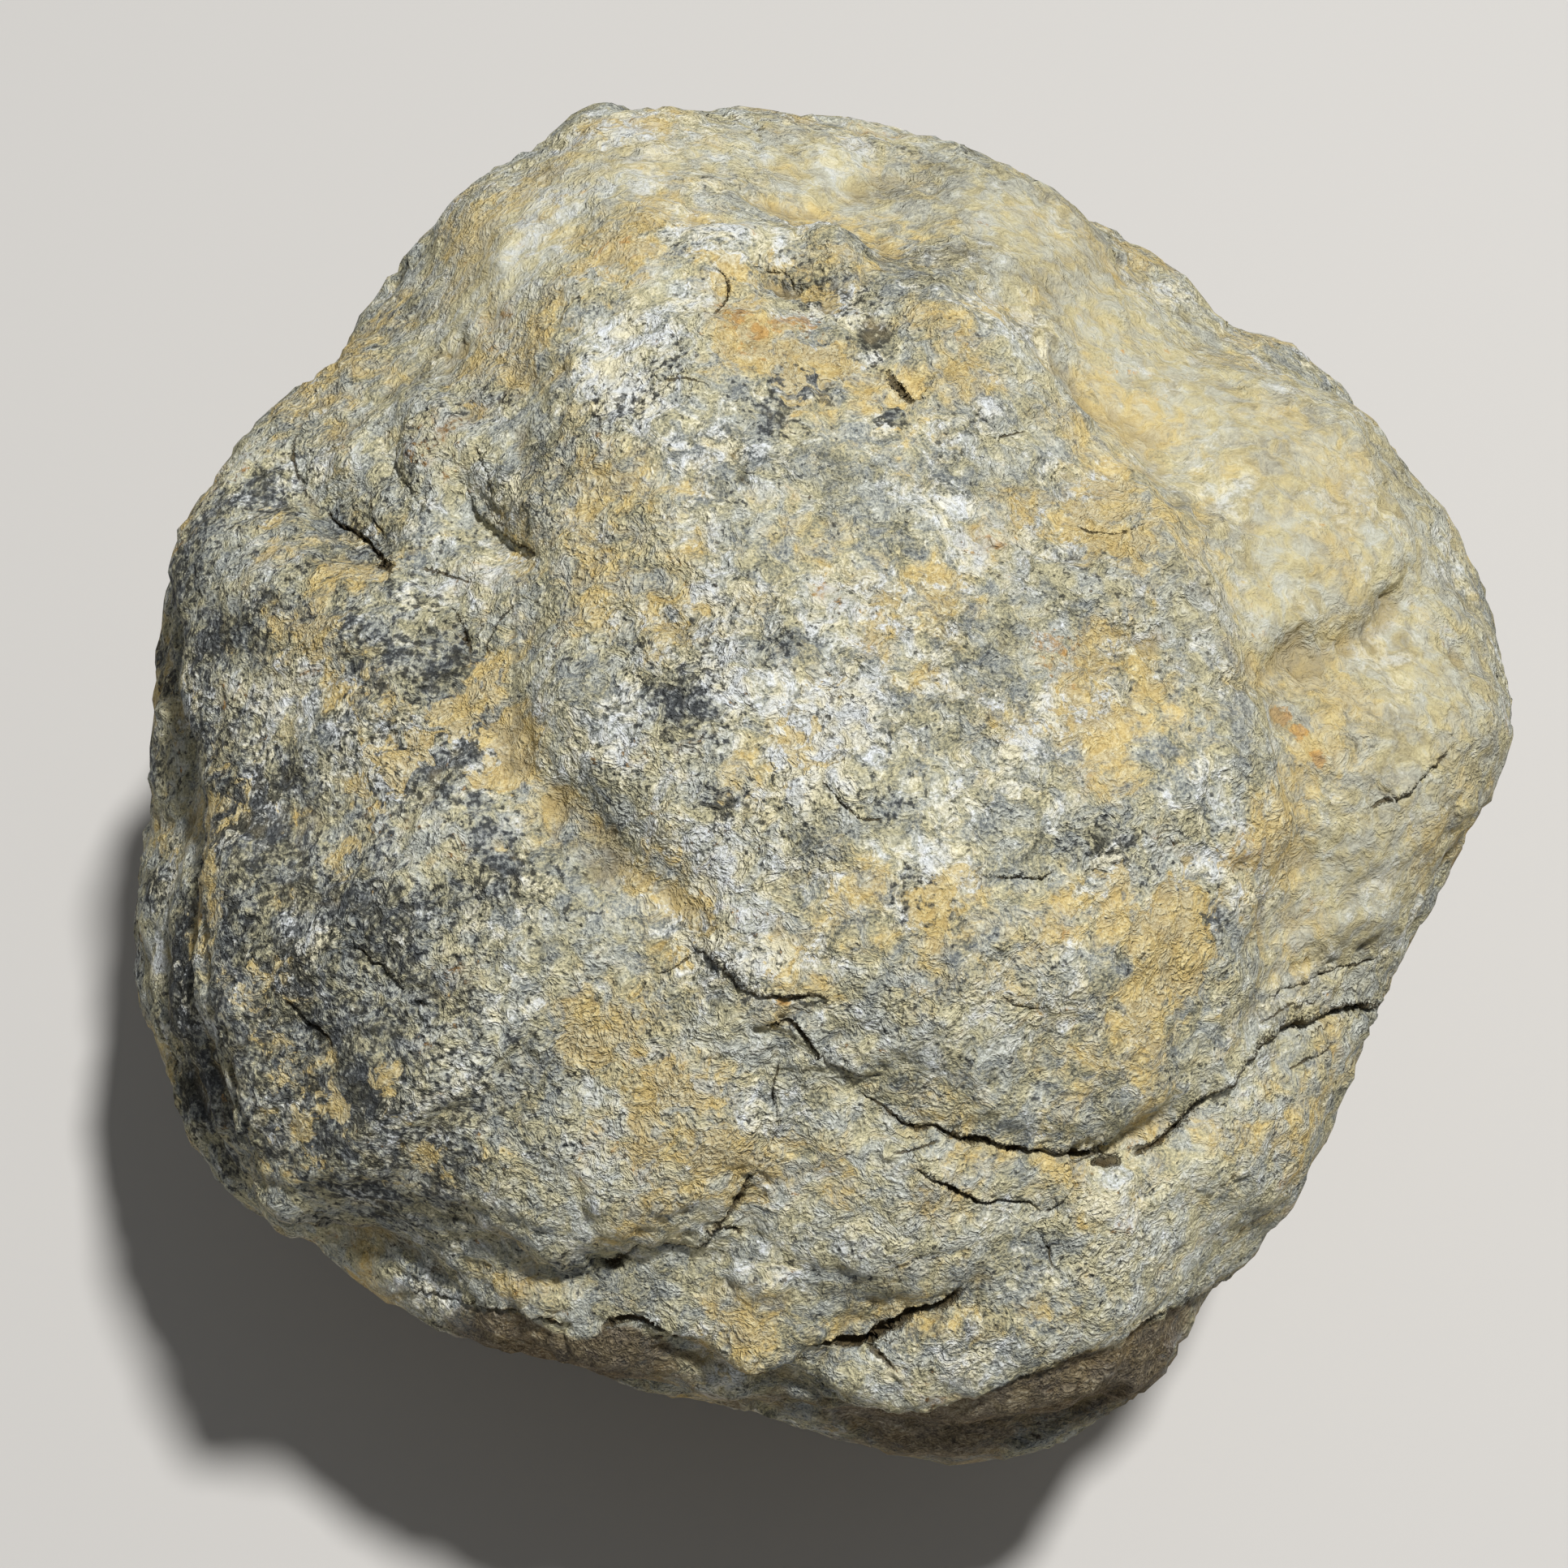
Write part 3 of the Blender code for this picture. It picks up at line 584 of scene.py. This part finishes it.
# A route over the stone is a row of places this many millimetres apart. It is evened out where the
# stone turns away from the eye, because sight lines slide far along it there.
ROUTE_STEP = 0.2
GRAZING = 0.5
EVENING_ROUNDS = 1000
LEAST_EASE = 0.003
MOST_EASE = 0.5

# Vector noise starts from the clock unless it has a seed.
ROUTE_SEED = 7
noise.seed_set(ROUTE_SEED)


def lay_route(surface, anchors, strays):
    """The way of a crack or fold over the stone: places a short step apart, with normals."""
    ends = [anchors[0] * 2 - anchors[1]] + anchors + [anchors[-1] * 2 - anchors[-2]]
    line = []
    for before, start, end, after in zip(ends, ends[1:], ends[2:], ends[3:]):
        count = max(2, round((end - start).length / MM / ROUTE_STEP))
        for k in range(count):
            t = k / count
            bend = (end - before) * t * (1 - t) ** 2 / 2 - (after - start) * t * t * (1 - t) / 2
            spot = (start.lerp(end, t * t * (3 - 2 * t)) + bend) / MM
            for reach, size in strays:
                spot += noise.noise_vector(spot / size + Vector((0, 0, size))) * reach
            line.append(spot * MM)
    return steadied(surface, [surface.find_nearest(spot)[:2] for spot in line])


def steadied(surface, places):
    """The same way, evened out where it runs round the stone's edge and sight lines graze it."""
    line = np.array([place[:] for place, _ in places])
    facing = np.array([normal.dot(TOWARD) for _, normal in places])
    turned = np.where(facing > -GRAZING, (GRAZING - facing) / GRAZING, 0)
    ease = np.clip(turned, LEAST_EASE, MOST_EASE)[1:-1, None]
    for _ in range(EVENING_ROUNDS):
        line[1:-1] += ease * ((line[:-2] + line[2:]) / 2 - line[1:-1])
    return [surface.find_nearest(Vector(place))[:2] for place in line]


def seen_anchors(surface, points):
    """The places of points given as the eye sees them."""
    return [on_stone(surface, u, v)[0] for u, v in points]


def round_anchors(surface, points):
    """The places of points given in degrees round and up."""
    return [round_stone(surface, azimuth, rise)[0] for azimuth, rise in points]


def lay_cracks(surface, cracks):
    """Cracks as rows of place, side, normal, width, depth, rise, overhang and taper."""
    rows = []
    for width, depth, rise, hang, anchors in cracks:
        places = lay_route(surface, anchors, CRACK_STRAY)
        count = len(places)
        for k, (place, normal) in enumerate(places):
            ahead = places[min(k + 2, count - 1)][0] - places[max(k - 2, 0)][0]
            side = normal.cross(ahead).normalized()
            from_end = min(k, count - 1 - k) * ROUTE_STEP / CRACK_TAPER
            taper = min(1.0, from_end) ** CRACK_TAPER_CURVE
            narrowed = CRACK_END_WIDTH + (1 - CRACK_END_WIDTH) * taper
            uneven = CRACK_MEAN + CRACK_UNEVEN * noise.noise(place / MM / CRACK_UNEVEN_SIZE)
            rows.append((place, side, normal, width * narrowed * uneven, depth * taper * uneven,
                         rise * taper, hang * taper * uneven, taper))
    return rows


def crack_tree(rows):
    """A tree that finds the nearest of those rows."""
    tree = KDTree(len(rows))
    for k, row in enumerate(rows):
        tree.insert(row[0], k)
    tree.balance()
    return tree


# The longest edge on the side that the eye sees, and then how near a crack an edge has to be for
# a shorter limit to hold, and that limit.
FRONT_EDGE = 0.95 * MM
FRONT_FACING = 0.25
CRACK_EDGES = ((1.6 * MM, 0.62 * MM), (1.1 * MM, 0.42 * MM))
SEEN_CRACK_EDGES = ((0.7 * MM, 0.3 * MM),)
ANY_LENGTH = 9
SMOOTHING = 0.5


def split_edges(body, allowed):
    """Halves every edge longer than allowed says for the place of its middle."""
    long_edges = []
    for edge in body.edges:
        a, b = edge.verts
        if edge.calc_length() > allowed((a.co + b.co) / 2, a.normal):
            long_edges.append(edge)
    bmesh.ops.subdivide_edges(body, edges=long_edges, cuts=1)
    bmesh.ops.triangulate(body, faces=[face for face in body.faces if len(face.verts) > 3])
    # A new point that no triangle of its neighbours needs hangs in a flat pocket beside the surface.
    bypassed = [vert for vert in body.verts if len(vert.link_edges) == 2]
    bmesh.ops.delete(body, geom=bypassed, context="VERTS")
    body.normal_update()


def refine(stone, every_crack, seen_cracks):
    """More and smaller triangles on the side the eye sees, and the smallest along the cracks."""
    body = bmesh.new()
    body.from_mesh(stone.data)
    bmesh.ops.triangulate(body, faces=body.faces)

    def front(place, normal):
        return FRONT_EDGE if normal.dot(TOWARD) > FRONT_FACING else ANY_LENGTH

    split_edges(body, front)
    for tree, edges in ((every_crack, CRACK_EDGES), (seen_cracks, SEEN_CRACK_EDGES)):
        for reach, longest in edges:
            def by_crack(place, normal):
                return longest if tree.find(place)[2] < reach else ANY_LENGTH
            split_edges(body, by_crack)
    bmesh.ops.smooth_vert(body, verts=body.verts, factor=SMOOTHING, use_axis_x=True,
                          use_axis_y=True, use_axis_z=True)
    body.to_mesh(stone.data)
    body.free()


def mesh_arrays(mesh):
    """The points and the point normals of a mesh."""
    points = np.empty(len(mesh.vertices) * 3)
    mesh.vertices.foreach_get("co", points)
    normals = np.empty(len(mesh.vertices) * 3)
    mesh.vertex_normals.foreach_get("vector", normals)
    return points.reshape(-1, 3), normals.reshape(-1, 3)


def set_points(mesh, points):
    """Moves the mesh's points to those places."""
    mesh.vertices.foreach_set("co", points.astype(np.float32).ravel())
    mesh.update()


def set_values(mesh, name, values):
    """Keeps one number for each point, under that name, for the material to read."""
    layer = mesh.attributes.new(name, "FLOAT", "POINT")
    layer.data.foreach_set("value", values.astype(np.float32))


# A crack's section: its upper side is steep and its lower side slopes, as parts of its width, and
# the upper side's lip fades out past it.
CRACK_UPPER = 0.5
CRACK_LOWER = 1.2
CRACK_LOWER_CURVE = 1.5
LIP_EDGE = 0.15
LIP_CURVE = 1.5
LIP_OVERHANG = 0.2


def open_cracks(stone, rows, tree):
    """Cuts the cracks into the stone and lifts each one's upper side over it."""
    points, normals = mesh_arrays(stone.data)
    found = [tree.find(Vector(point)) for point in points]
    near = np.array([hit[2] for hit in found]) / MM
    index = np.array([hit[1] for hit in found])
    sides = np.array([row[1][:] for row in rows])[index]
    spots = np.array([row[0][:] for row in rows])[index]
    width, depth, rise, hang, taper = np.array([row[3:] for row in rows]).T[:, index]
    across = np.einsum("ij,ij->i", points - spots, sides) / MM
    width = np.maximum(width, THINNEST_CRACK)
    reach = np.clip(1 - near / CRACK_REACH, 0, 1)
    upper = np.clip(1 - across / (width * CRACK_UPPER), 0, 1)
    lower = np.clip(1 + across / (width * CRACK_LOWER), 0, 1) ** CRACK_LOWER_CURVE
    groove = np.where(across > 0, upper, lower) * (near < CRACK_REACH) * (depth > 0)
    lip = np.where(across > 0, 1, np.exp(across / LIP_EDGE)) * reach ** LIP_CURVE
    moved = normals * (rise * lip - depth * groove)[:, None] * MM
    moved -= sides * (hang * lip * (across > -width * LIP_OVERHANG))[:, None] * MM
    set_points(stone.data, points + moved)
    way = np.where(across > 0, 1, -1) * np.maximum(np.abs(across), near - ROUTE_STEP) / width
    set_values(stone.data, "crack_way", np.clip(way, -FARTHEST_WAY, FARTHEST_WAY))
    set_values(stone.data, "crack_fade", taper * np.clip((CRACK_SEEN - near) / CRACK_SEEN_FADE, 0, 1))
    set_values(stone.data, "crack", groove * np.clip(depth, 0, 1))


def zone_strength(surface, points, name):
    """How strongly each point belongs to a zone that is made of round patches."""
    rest = np.ones(len(points))
    patches = [(on_stone(surface, u, v)[0], *size) for u, v, *size in ZONES.get(name, ())]
    patches += [(round_stone(surface, u, v)[0], *size) for u, v, *size in BACK_ZONES.get(name, ())]
    for place, radius, strength in patches:
        away = np.linalg.norm(points - np.array(place), axis=1) / MM
        rest *= 1 - strength * np.exp(-(away / radius) ** 2)
    return 1 - rest


def fan_out(stone, points):
    """How far across and along the streaks each point lies, in millimetres."""
    seen = (points - np.array(STONE_MIDDLE)) / MM
    right = seen @ np.array(RIGHT) - FAN_ROOT[0]
    up = seen @ np.array(UP) - FAN_ROOT[1]
    set_values(stone.data, "fan_across", np.arctan2(-right, up) * FAN_REACH)
    set_values(stone.data, "fan_along", np.hypot(right, up))


def undersides(points, normals):
    """1 where the stone's side turns down towards the ground, and 0 on top."""
    return np.clip((UNDER_FACING - normals[:, 2]) / UNDER_SPAN, 0, 1)


def surface_of(stone):
    """The stone's surface, ready to be asked for the nearest place or where a line meets it."""
    body = bmesh.new()
    body.from_mesh(stone.data)
    surface = BVHTree.FromBMesh(body)
    body.free()
    return surface


def beside(places, points):
    """How near each point is to a route, how far on its left, and how far from its ends."""
    line = np.array([place[:] for place, _ in places])
    ways = np.gradient(line, axis=0)
    sides = np.cross(np.array([normal[:] for _, normal in places]), ways)
    sides /= np.linalg.norm(sides, axis=1)[:, None]
    tree = KDTree(len(line))
    for k, place in enumerate(line):
        tree.insert(place, k)
    tree.balance()
    found = [tree.find(Vector(point)) for point in points]
    index = np.array([hit[1] for hit in found])
    near = np.array([hit[2] for hit in found]) / MM
    across = np.einsum("ij,ij->i", points - line[index], sides[index]) / MM
    along = np.minimum(index, len(line) - 1 - index) * ROUTE_STEP
    return near, across, along


def shade_below_ledges(surface, points):
    """1 in the painted shade just below the front ledges, and 0 above them and far away."""
    ledge_shade = np.zeros(len(points))
    ledge = seen_anchors(surface, FOLDS["ledge"][3])
    foot = round_anchors(surface, SEAMS["foot_ledge"][5])
    for anchors in (ledge, foot):
        places = lay_route(surface, anchors, FOLD_STRAY)
        near, across, along = beside(places, points)
        below = np.clip(-across / LEDGE_SHADE_EDGE, 0, 1) * np.clip((LEDGE_SHADE_REACH - near) / LEDGE_SHADE_FADE, 0, 1)
        ledge_shade = np.maximum(ledge_shade, below * np.clip(along / LEDGE_SHADE_FADE, 0, 1))
    return ledge_shade


def press_folds(stone):
    """Presses the soft folds, lumps and pits into the even stone."""
    surface = surface_of(stone)
    points, normals = mesh_arrays(stone.data)
    height = np.zeros(len(points))
    folds = [(*fold[:3], seen_anchors(surface, fold[3])) for fold in FOLDS.values()]
    folds += [(*seam[:3], round_anchors(surface, seam[5])) for seam in SEAMS.values()]
    for width, depth, step, anchors in folds:
        places = lay_route(surface, anchors, FOLD_STRAY)
        near, across, along = beside(places, points)
        across = across / width
        fade = np.clip(along / FOLD_TAPER, 0, 1) * np.exp(-(near / FOLD_REACH) ** 2)
        rise = step / 2 * np.tanh(across * FOLD_STEEPNESS)
        height += fade * (rise - depth * np.exp(-across ** 2))
    for u, v, radius, rise in LUMPS:
        place, _ = on_stone(surface, u, v)
        away = np.linalg.norm(points - np.array(place), axis=1) / MM
        height += rise * np.exp(-(away / radius) ** 2)
    set_points(stone.data, points + normals * height[:, None] * MM)


press_folds(stone)
even_surface = surface_of(stone)
seen_rows = lay_cracks(even_surface, [
    (*crack[:4], seen_anchors(even_surface, crack[4])) for crack in CRACKS.values()])
crack_rows = seen_rows + lay_cracks(even_surface, [
    (*seam[3:5], *SEAM_RISE, round_anchors(even_surface, seam[5])) for seam in SEAMS.values()])
cracks = crack_tree(crack_rows)
refine(stone, cracks, crack_tree(seen_rows))
open_cracks(stone, crack_rows, cracks)
stone_points, stone_normals = mesh_arrays(stone.data)
set_values(stone.data, "under", undersides(stone_points, stone_normals))
set_values(stone.data, "ledge_shade", shade_below_ledges(even_surface, stone_points))
fan_out(stone, stone_points)
for zone_name in ZONES | BACK_ZONES:
    set_values(stone.data, zone_name, zone_strength(even_surface, stone_points, zone_name))

# How high and how wide the stone's uneven growth is, in millimetres.
RELIEF = {
    "Swell height": 1.6, "Swell size": 11.0, "Lump height": 1.5, "Lump size": 5.5,
    "Crumb height": 0.9, "Crumb size": 2.2, "Grain height": 0.4, "Grain size": 1.0,
    "Flake height": 0.8, "Flake size": 7.0, "Crust height": 0.2, "Crust size": 5.0,
    "Pit depth": 0.5, "Pit size": 2.4,
}


def relief_tree():
    """Broad swells, small lumps, coarse grains, a flaking crust and a few pits, along the normal."""
    tree = bpy.data.node_groups.new("stone_relief", "GeometryNodeTree")
    tree.interface.new_socket("Geometry", in_out="OUTPUT", socket_type="NodeSocketGeometry")
    tree.interface.new_socket("Geometry", in_out="INPUT", socket_type="NodeSocketGeometry")
    tree.interface.new_socket("Material", in_out="INPUT", socket_type="NodeSocketMaterial")
    for name in RELIEF:
        tree.interface.new_socket(name, in_out="INPUT", socket_type="NodeSocketFloat")
    relief = Signal(tree)
    given = tree.nodes.new("NodeGroupInput")
    size = {name: Signal(tree, given.outputs[name]) for name in RELIEF}
    place = relief.node("GeometryNodeInputPosition", {}, {}).scaled(1 / MM)

    def spot(kind):
        return place.scaled(1 / size[kind + " size"])

    def height(kind, detail, roughness):
        return (spot(kind).cloud(1, detail, roughness) - 0.5) * size[kind + " height"]

    def creased(kind, detail, roughness):
        """Rounded lumps with a sharp crease between them."""
        folded = (spot(kind).cloud(1, detail, roughness) - 0.5).maths("ABSOLUTE")
        return (folded - 0.08) * size[kind + " height"]

    bumps = height("Swell", 2, 0.45) + creased("Lump", 2, 0.5)
    bumps = bumps + creased("Crumb", 1, 0.5) + height("Grain", 1, 0.5)
    swung = spot("Flake").cloud(0.45, 3, 0.6, 0.0, 1).scaled(0.6)
    plates = spot("Flake").vector("ADD", spot("Flake"), swung).cells(1, "F1", 1)
    bumps = bumps + (plates - 0.5) * size["Flake height"]
    crust = spot("Crust").cloud(1, 5, 0.6).above(0.5, 0.54) * size["Crust height"]
    pits = spot("Pit").cells(1).above(0.3, 0.1) * size["Pit depth"]
    rough = spot("Pit").cloud(4, 2, 0.5).above(0.56, 0.68)
    outward = relief.node("GeometryNodeInputNormal", {}, {})
    offset = outward.scaled((bumps + crust - pits * rough) * MM)
    moved = relief.node("GeometryNodeSetPosition", {},
                        {0: Signal(tree, given.outputs["Geometry"]), "Offset": offset})
    smooth = relief.node("GeometryNodeSetShadeSmooth", {}, {0: moved})
    real = relief.node("GeometryNodeRealizeInstances", {}, {0: smooth})
    finished = relief.node("GeometryNodeSetMaterial", {},
                           {0: real, "Material": Signal(tree, given.outputs["Material"])})
    tree.links.new(finished.socket, tree.nodes.new("NodeGroupOutput").inputs[0])
    return tree


def grow_relief(stone, material):
    """Grows the relief over the stone, with its material, and makes the result plain."""
    growing = stone.modifiers.new("relief", "NODES")
    growing.node_group = relief_tree()
    for item in growing.node_group.interface.items_tree:
        if item.in_out == "INPUT" and item.name in RELIEF:
            growing[item.identifier] = RELIEF[item.name]
        if item.in_out == "INPUT" and item.name == "Material":
            growing[item.identifier] = material
    settle(stone)


def hollowness(mesh, rounds):
    """How far each point lies below the mean of the surface round it, in millimetres."""
    points, normals = mesh_arrays(mesh)
    ends = np.empty(len(mesh.edges) * 2, dtype=np.int32)
    mesh.edges.foreach_get("vertices", ends)
    first, second = ends.reshape(-1, 2).T
    count = np.bincount(first, minlength=len(points)) + np.bincount(second, minlength=len(points))
    mean = points.copy()
    for _ in range(rounds):
        for axis in range(3):
            row = mean[:, axis]
            total = np.bincount(first, row[second], len(points))
            total += np.bincount(second, row[first], len(points))
            mean[:, axis] = total / count
    return np.einsum("ij,ij->i", mean - points, normals) / MM


# The finish's colours, as the dry stone shows them in plain light, and last the dark browns of the
# painted shade low on the front.
ROCK = ((0.20, (0.14, 0.146, 0.134)), (0.36, (0.28, 0.284, 0.245)), (0.50, (0.45, 0.44, 0.345)),
        (0.62, (0.57, 0.555, 0.435)), (0.80, (0.78, 0.765, 0.65)))
CHARCOAL = ((0.22, (0.040, 0.042, 0.040)), (0.42, (0.105, 0.108, 0.101)),
            (0.60, (0.22, 0.222, 0.20)), (0.82, (0.47, 0.465, 0.40)))
CHALK = ((0.25, (0.52, 0.505, 0.42)), (0.50, (0.76, 0.745, 0.66)), (0.75, (0.92, 0.91, 0.85)))
OCHRE = ((0.25, (0.34, 0.24, 0.105)), (0.42, (0.53, 0.405, 0.19)), (0.58, (0.66, 0.54, 0.285)),
         (0.78, (0.80, 0.71, 0.46)))
RUST = ((0.3, (0.26, 0.12, 0.035)), (0.7, (0.62, 0.36, 0.12)))
DUST = ((0.26, (0.38, 0.31, 0.175)), (0.44, (0.50, 0.43, 0.265)), (0.60, (0.55, 0.505, 0.345)),
        (0.78, (0.57, 0.565, 0.47)))
LOW_SHADE = ((0.28, (0.04, 0.026, 0.013)), (0.45, (0.09, 0.06, 0.03)),
         (0.60, (0.17, 0.122, 0.068)), (0.80, (0.34, 0.29, 0.20)))

# Colours laid over the others: a slight warm or cool tint, the painted shade of the undersides, dark
# grains, clay colour and painted shade in hollows, and the painted shade in a crack.
WARM_TINT = (1.045, 0.99, 0.79, 1)
COOL_TINT = (0.96, 1.01, 1.12, 1)
UNDERSIDE_SHADE_TINT = (0.66, 0.54, 0.40)
PEPPER = (0.055, 0.056, 0.052, 1)
CREASE_CLAY_AND_SHADE = (0.33, 0.26, 0.13, 1)
CRACK_SHADE = (0.085, 0.062, 0.028, 1)

# The finish's patterns: the size of the coarsest lumps in millimetres, the noise's detail and
# roughness, and a shift that keeps one pattern from falling in step with another.
PATTERNS = {
    "sway": (2.2, 1, 0.6, 3.1), "coarse": (9.0, 2, 0.5, 41.0), "wrinkle": (1.5, 2, 0.62, 5.0),
    "scale": (0.62, 2, 0.65, 11.0), "fine": (0.22, 2, 0.7, 0.0), "tone": (7.0, 3, 0.68, 17.0),
    "speck": (1.2, 3, 0.65, 23.0), "dots": (0.5, 2, 0.6, 61.0), "charcoal": (6.5, 3, 0.72, 91.0),
    "chalk": (7.0, 4, 0.72, 31.0), "ochre": (8.0, 4, 0.70, 47.0), "tint": (1.9, 3, 0.6, 151.0),
}
SWAY = 2.4
STREAK_WIDTH = 0.7
STREAK_LENGTH = 5.5
FLAKE_SIZE = 1.6

# Where each layer of the finish begins and where it is whole, on its own field.
LAYERS = {
    "charcoal": (0.30, 0.58), "stain": (0.49, 0.64), "chalk": (0.56, 0.68),
    "crust": (0.605, 0.635), "pepper": (0.12, 0.19), "rust": (0.22, 0.36), "underside_shade": (0.1, 1.1),
    "low_shade": (0.3, 1.0), "clay": (0.12, 0.5), "crack": (0.25, 0.75), "crack line": (0.75, 0.35),
    "crack end": (0.05, 0.35), "flake": (0.58, 0.60), "coarse": (0.35, 0.65), "warm": (0.36, 0.64),
}
MATT = 0.92
FAINT_SHINE = 0.25


def stone_material():
    """Grey rock under chalk dust, dry ochre clay, rust stains and charcoal patches, with painted
    shade in cracks, hollows, fine crevices and low on the front.
    """
    material, shader, sheet = new_material("weathered_stone")

    def zone(name):
        return sheet.node("ShaderNodeAttribute", {"attribute_name": name}, {}, "Fac")

    def layer(name, field):
        return field.above(*LAYERS[name])

    place = sheet.node("ShaderNodeTexCoord", {}, {}, "Object").scaled(1 / MM)
    sway = place.cloud(*PATTERNS["sway"], output=1)
    sway = sway.vector("SUBTRACT", sway, (0.5, 0.5, 0.5)).scaled(SWAY)
    swayed = place.vector("ADD", place, sway)
    calm = 1 - zone("dust") * 0.55

    # The weathered skin: wrinkles, small scales and grains, rougher in some places.
    coarse = 0.6 + layer("coarse", place.cloud(*PATTERNS["coarse"])) * 0.7
    wrinkle = (place.cloud(*PATTERNS["wrinkle"]) - 0.5).maths("ABSOLUTE")
    scale = (swayed.cloud(*PATTERNS["scale"]) - 0.5).maths("ABSOLUTE")
    fine = place.cloud(*PATTERNS["fine"]) - 0.5
    # Colour that follows the wrinkles and scales of the fine relief: partly wear, partly painted
    # shade in their crevices and painted highlight on their ridges.
    wear_and_shade = (wrinkle * 0.8 + scale * 1.2 + fine * 0.4 - 0.16) * calm
    tone = swayed.cloud(*PATTERNS["tone"]) - 0.5
    speck = swayed.cloud(*PATTERNS["speck"]) - 0.5
    feather = fine * 0.35 + speck * 0.5
    dots = place.cloud(*PATTERNS["dots"]) - 0.5
    across, along = zone("fan_across") / STREAK_WIDTH, zone("fan_along") / STREAK_LENGTH
    fan = sheet.node("ShaderNodeCombineXYZ", {}, {0: across, 1: along})
    streak = (fan.cloud(1, 3, 0.62) - 0.5) * zone("streaked")

    # Where the charcoal, chalk, clay and rust lie.
    charcoal_field = zone("charcoal") * 0.72 + (swayed.cloud(*PATTERNS["charcoal"]) - 0.5) * 1.7
    charcoal_field = charcoal_field + streak * 1.2
    charcoal = layer("charcoal", charcoal_field + feather * 1.3 + dots * 1.6)
    chalk_field = swayed.cloud(*PATTERNS["chalk"]) + zone("chalk") * 0.15
    chalk = layer("chalk", chalk_field + feather * 0.7 - dots * 0.25)
    ochre_field = swayed.cloud(*PATTERNS["ochre"]) + zone("ochre") * 0.15 + zone("hollow") * 0.15
    stain = layer("stain", ochre_field - zone("charcoal") * 0.05 + feather * 0.5)
    crust = layer("crust", ochre_field + zone("ochre") * 0.06 + speck * 0.3 + dots * 0.16)
    rust = layer("rust", tone + zone("rust") * 0.35 + speck * 0.6 + dots * 0.5)
    shade = 0.52 + wear_and_shade * 0.75 + fine * 0.4 * calm + speck * 0.5

    # Their colours, each laid over the ones before it.
    rock_shade = 0.53 + zone("pale") * 0.15 + tone * 0.9 + speck * 0.7 + streak * 1.0
    rock = (rock_shade + wear_and_shade * 0.7 + fine * 0.65 * calm).ramp(ROCK)
    charcoal_colour = (shade - 0.02 + tone * 1.3 + speck * 0.4 + fine * 0.3).ramp(CHARCOAL)
    colour = charcoal.blend(rock, charcoal_colour)
    colour = (stain * (0.6 - charcoal * 0.35)).blend(colour, (shade - tone * 0.6).ramp(OCHRE))
    colour = (chalk * 0.9).blend(colour, shade.ramp(CHALK))
    colour = (crust * 0.85).blend(colour, (shade + 0.03).ramp(OCHRE))
    pepper = layer("pepper", dots + charcoal_field * 0.18 - crust * 0.1) * calm
    colour = (pepper * 0.75).blend(colour, PEPPER)
    dust_colour = (0.52 + zone("pale") * 0.10 + tone * 0.9 + speck * 0.5 + wear_and_shade * 0.4).ramp(DUST)
    colour = (zone("dust") * 0.66).blend(colour, dust_colour)
    colour = (rust * 0.75).blend(colour, (shade + dots * 0.8).ramp(RUST))
    tint = layer("warm", swayed.cloud(*PATTERNS["tint"])).blend(COOL_TINT, WARM_TINT)
    colour = colour.vector("MULTIPLY", colour, tint)
    # Painted shade on the undersides: where the side turns down, the colour is made darker and
    # browner.
    underside_shade = zone("under") * (0.8 + zone("low_shade") * 0.6) + tone * 2.0 + speck * 0.6
    underside_shade_colour = colour.vector("MULTIPLY", colour, UNDERSIDE_SHADE_TINT)
    colour = (layer("underside_shade", underside_shade) * 0.8).blend(colour, underside_shade_colour)
    # Painted shade below the front ledges and on the lower front, in dark browns.
    low_shade = zone("ledge_shade") * 1.2 + zone("low_shade") * zone("under") * 0.4 + tone * 2.2 + feather * 1.6
    low_shade_colour = (shade + tone * 0.8).ramp(LOW_SHADE)
    colour = (layer("low_shade", low_shade) * 0.85).blend(colour, low_shade_colour)
    # Clay colour and painted shade in the hollows: darker brown where the surface lies below the
    # surface round it.
    colour = (layer("clay", zone("hollow")) * 0.6).blend(colour, CREASE_CLAY_AND_SHADE)
    way = (zone("crack_way") + fine * 2.0).maths("ABSOLUTE")
    line = layer("crack line", way) * layer("crack end", zone("crack_fade"))
    colour = (line * 0.85).blend(colour, CRACK_SHADE)
    colour = layer("crack", zone("crack")).blend(colour, CRACK_SHADE)

    # The skin again, as fine relief.
    flake = layer("flake", swayed.cells(FLAKE_SIZE, "F1", 1)) * 0.12
    relief = (wrinkle * 1.1 + scale * 0.72 + fine * 0.16 + flake + streak * 0.6) * calm * coarse
    height = relief + speck * 0.12 - line * 0.3
    bump = sheet.node("ShaderNodeBump", {}, {"Strength": 1.0, "Distance": MM, "Height": height})
    sheet.tree.links.new(colour.socket, shader.inputs["Base Color"])
    sheet.tree.links.new(bump.socket, shader.inputs["Normal"])
    shader.inputs["Roughness"].default_value = MATT
    shader.inputs["Specular IOR Level"].default_value = FAINT_SHINE
    return material


RESTING_WEAR = 0.35 * MM
HOLLOW_ROUNDS = 12


def keep_size(stone, box):
    """Holds the grown stone to its measured size, and rubs its underside flat where it rests."""
    points, _ = mesh_arrays(stone.data)
    low, high = np.array(box)
    points[:, 2] -= points[:, 2].min() + RESTING_WEAR
    points[:, 2] = np.maximum(points[:, 2], 0)
    lowest, highest = points.min(axis=0), points.max(axis=0)
    set_points(stone.data, low + (points - lowest) * (high - low) / (highest - lowest))


grow_relief(stone, stone_material())
keep_size(stone, cad_box)
set_values(stone.data, "hollow", np.clip(hollowness(stone.data, HOLLOW_ROUNDS), 0, 1))

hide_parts("geode")
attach(stone, "root")
